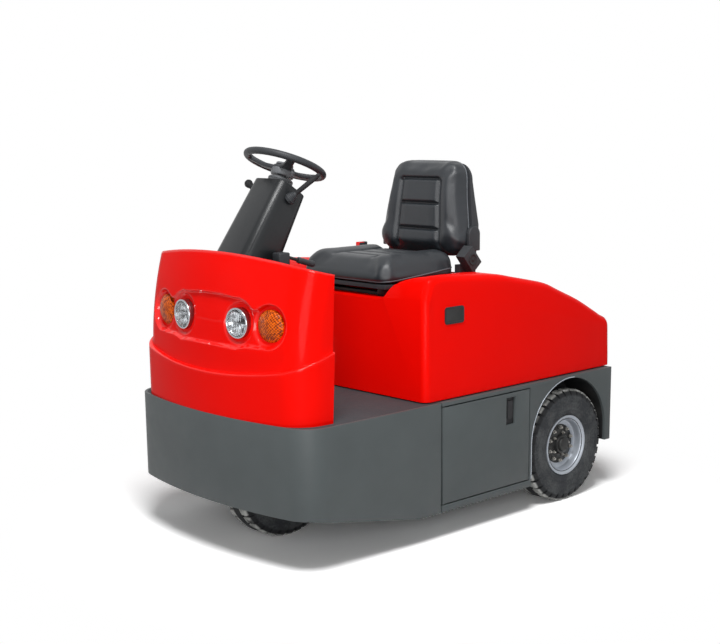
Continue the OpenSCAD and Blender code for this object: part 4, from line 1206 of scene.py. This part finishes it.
def piping(bm, place, normal, radius):
    """Cuts the pad along a plane and returns a cord laid along the cut."""
    cut = bmesh.ops.bisect_plane(bm, geom=everything(bm), dist=1e-6, plane_co=place, plane_no=normal)["geom_cut"]
    follows = {}
    for edge in edges_of(cut):
        for one, other in (edge.verts, reversed(edge.verts)):
            follows.setdefault(one, []).append(other)
    start = max(follows, key=lambda v: v.co.x)
    line, last, here = [start.co.copy()], None, start
    while True:
        ahead = [v for v in follows[here] if v is not last]
        if not ahead or ahead[0] is start:
            break
        last, here = here, ahead[0]
        line.append(here.co.copy())
    count = len(line)
    reach = 6
    evened = [sum((line[(i + k) % count] for k in range(-reach, reach + 1)), Vector()) / (2 * reach + 1)
              for i in range(0, count, 4)]
    return tube(evened, radius, True)


def backrest():
    """Backrest pad: bolsters at the sides, three pillows between them, cut by stitched channels."""
    bm = plumped("seat_backrest", BACKREST, (1.0, 0.9, 1.0), lambda p: p.y > BACKREST_SEAM)
    upper = BACKREST_GROOVES[0]
    for vert in bm.verts:
        x, y, z = vert.co
        vert.co.x *= 1 + 0.045 * smooth(0.26, 0.1, z)
        front = smooth(-0.02, 0.016 - BACKREST_T, y)
        if front <= 0:
            continue
        half = PANEL_HALF - 0.035 * (z - 0.1)
        ends = smooth(0.02, 0.05, z) * smooth(upper + 0.012, upper - 0.012, z)
        bolster = 0.011 * smooth(0.112, 0.165, abs(x)) * smooth(0.225, 0.185, abs(x))
        bolster *= smooth(0.03, 0.09, z) * smooth(BACKREST_H - 0.03, BACKREST_H - 0.12, z)
        upright = channel(abs(x) - half, 0.011, 0.013) * ends
        cross = max(channel(z - groove, 0.0065, 0.015) for groove in BACKREST_GROOVES)
        cross *= smooth(half + 0.006, half - 0.008, abs(x))
        pillow = 0.005 * smooth(half, half - 0.05, abs(x)) * ends
        full = 0.01 * smooth(0.08, 0.25, z)
        vert.co.y += front * (max(upright, cross) - bolster - pillow - full + 0.002)
    # The cord gets the light piping colour, a painted highlight on the seam.
    cord = piping(bm, (0, BACKREST_SEAM, 0), (0, 1, 0), 0.0032)
    bm = moved(joined(bm, tinted(cord, 1)), BACKREST)
    pad = piece("seat_backrest_pad", bm, [VINYL, PIPING_PAINTED_HIGHLIGHT], ["seat_backrest"], 180)


def cushion():
    """Seat cushion: raised bolsters, stitched channels in the middle, a rounded front edge and a rising seam."""
    low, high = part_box("seat_cushion")
    corner = at((low.x + high.x) / 2, low.y, low.z)
    depth = high.y - low.y
    bm = plumped("seat_cushion", corner, (1.0, 1.0, 0.9), lambda p: p.z < CUSHION_HELD)
    for vert in bm.verts:
        x, y, z = vert.co
        top = smooth(0.03, CUSHION_H - 0.012, z)
        if top > 0:
            span = smooth(0.05, 0.1, y) * smooth(depth - 0.02, depth - 0.06, y)
            bolster = 0.011 * smooth(0.11, 0.17, abs(x)) * smooth(0.252, 0.205, abs(x)) * smooth(0.0, 0.08, y)
            upright = channel(abs(x) - 0.115, 0.012, 0.008) * span
            cross = max(channel(y - groove, 0.008, 0.012) for groove in CUSHION_GROOVES)
            cross *= smooth(0.105, 0.09, abs(x))
            waterfall = 0.012 * smooth(0.1, 0.0, y)
            vert.co.z += top * (bolster - max(upright, cross) - waterfall)
        vert.co.z = max(vert.co.z, 0.0)
    start = Vector((0, 0, SEAM_FRONT))
    seam = Vector((0, -SEAM_RISE / depth, 1))
    # The cord gets the light piping colour, a painted highlight on the seam.
    cord = piping(bm, start, seam, 0.003)
    tinted(bm, 2, lambda face: (face.calc_center_median() - start).dot(seam) < 0)
    bm = moved(joined(bm, tinted(cord, 1)), corner)
    pad = piece("seat_cushion_pad", bm, [VINYL, PIPING_PAINTED_HIGHLIGHT, PLASTIC], ["seat_cushion"], 180)


# Studio

FLOOR_SHADE = 1.4
FLOOR_BOUNCE = 0.55
FLOOR_FADE = (1.05, 1.5)
AMBIENT = 0.2
BACKGROUND_RAYS = ("Is Camera Ray", "Is Glossy Ray", "Is Transmission Ray")
LIGHTS = (
    ("key", (4.0, -3.8, 1.35), (0, -0.1, 0.6), 2.4, 104),
    ("front", (-2.4, -4.2, 1.6), (0, -0.4, 0.6), 2.4, 7),
    ("top", (2.0, -2.0, 5.0), (0, 0, 0.4), 2.0, 255),
)


def studio():
    floor = bmesh.new()
    bmesh.ops.create_grid(floor, x_segments=1, y_segments=1, size=14)
    mesh = mesh_of(floor, "floor")
    linked("floor", mesh)
    pale = Finish("studio_floor", (0.8, 0.8, 0.8, 1), 0.9)
    tree = pale.tree
    plain = pale.node("ShaderNodeBsdfDiffuse", {}, {"Color": (FLOOR_BOUNCE, FLOOR_BOUNCE, FLOOR_BOUNCE, 1)})
    near = pale.node("ShaderNodeBsdfDiffuse", {}, {"Color": (FLOOR_SHADE, FLOOR_SHADE, FLOOR_SHADE, 1)})
    far = pale.node("ShaderNodeEmission", {}, {"Color": (1, 1, 1, 1), "Strength": 1.0})
    gone = pale.between(pale.away(), *FLOOR_FADE)
    shown = pale.node("ShaderNodeMixShader", {}, {0: gone, 1: near, 2: far})
    camera_ray, gloss_ray, glass_ray = (pale.node("ShaderNodeLightPath", out=ray) for ray in BACKGROUND_RAYS)
    seen = camera_ray.math("MAXIMUM", camera_ray.math("MAXIMUM", camera_ray, gloss_ray), glass_ray)
    both = pale.node("ShaderNodeMixShader", {}, {0: seen, 1: plain, 2: shown})
    tree.links.new(both.socket, tree.nodes["Material Output"].inputs["Surface"])
    tree.nodes.remove(pale.shader)
    mesh.materials.append(pale.material)

    world = bpy.data.worlds.new("studio")
    SCENE.world = world
    world.use_nodes = True
    nodes, links = world.node_tree.nodes, world.node_tree.links
    back = nodes["Background"]
    path = nodes.new("ShaderNodeLightPath")
    strength = None
    for ray in BACKGROUND_RAYS:
        lift = nodes.new("ShaderNodeMapRange")
        links.new(path.outputs[ray], lift.inputs["Value"])
        lift.inputs["To Min"].default_value = AMBIENT
        lift.inputs["To Max"].default_value = 1.0
        if strength:
            links.new(strength, lift.inputs["To Min"])
        strength = lift.outputs[0]
    links.new(strength, back.inputs["Strength"])
    back.inputs["Color"].default_value = (1, 1, 1, 1)

    for name, place, aim, size, power in LIGHTS:
        light = bpy.data.lights.new(name, "AREA")
        light.shape = "DISK"
        light.size = size
        light.energy = power
        lamp = linked(name, light)
        lamp.location = place
        lamp.rotation_euler = (Vector(aim) - Vector(place)).to_track_quat("-Z", "Y").to_euler()


CAMERA_PLACE = (3.714, -3.531, 1.523)
CAMERA_TURN, CAMERA_RISE, CAMERA_ROLL = 46.07, 11.22, -0.32
CAMERA_LENS = 64.55
CAMERA_SHIFT = (-33.07, 59.99)
PHOTO_WIDTH = 720


def camera():
    """Camera at the photograph's angle: 46 degrees round from the front, 11 degrees up."""
    turn, rise, roll = (math.radians(angle) for angle in (CAMERA_TURN, CAMERA_RISE, CAMERA_ROLL))
    back = Vector((math.sin(turn) * math.cos(rise), -math.cos(turn) * math.cos(rise), math.sin(rise)))
    right = (-back).cross(Vector((0, 0, 1))).normalized()
    up = right.cross(-back)
    right, up = right * math.cos(roll) + up * math.sin(roll), up * math.cos(roll) - right * math.sin(roll)
    data = bpy.data.cameras.new("camera")
    data.sensor_width = 36
    data.lens = CAMERA_LENS
    data.shift_x, data.shift_y = (shift / PHOTO_WIDTH for shift in CAMERA_SHIFT)
    view = linked("camera", data)
    axes = Matrix((right, up, back)).transposed().to_4x4()
    view.matrix_world = at(*CAMERA_PLACE) @ axes
    SCENE.camera = view


chassis()
cowl()
headlamps()
indicators()
tail_lamps()
hood()
hood_handles()
rear_wheel(1, "left")
rear_wheel(-1, "right")
front_wheel()
steering_wheel()
column()
brake_and_switches()
dash()
seat_frame()
backrest()
cushion()
studio()
camera()
SCENE.view_settings.view_transform = "Standard"
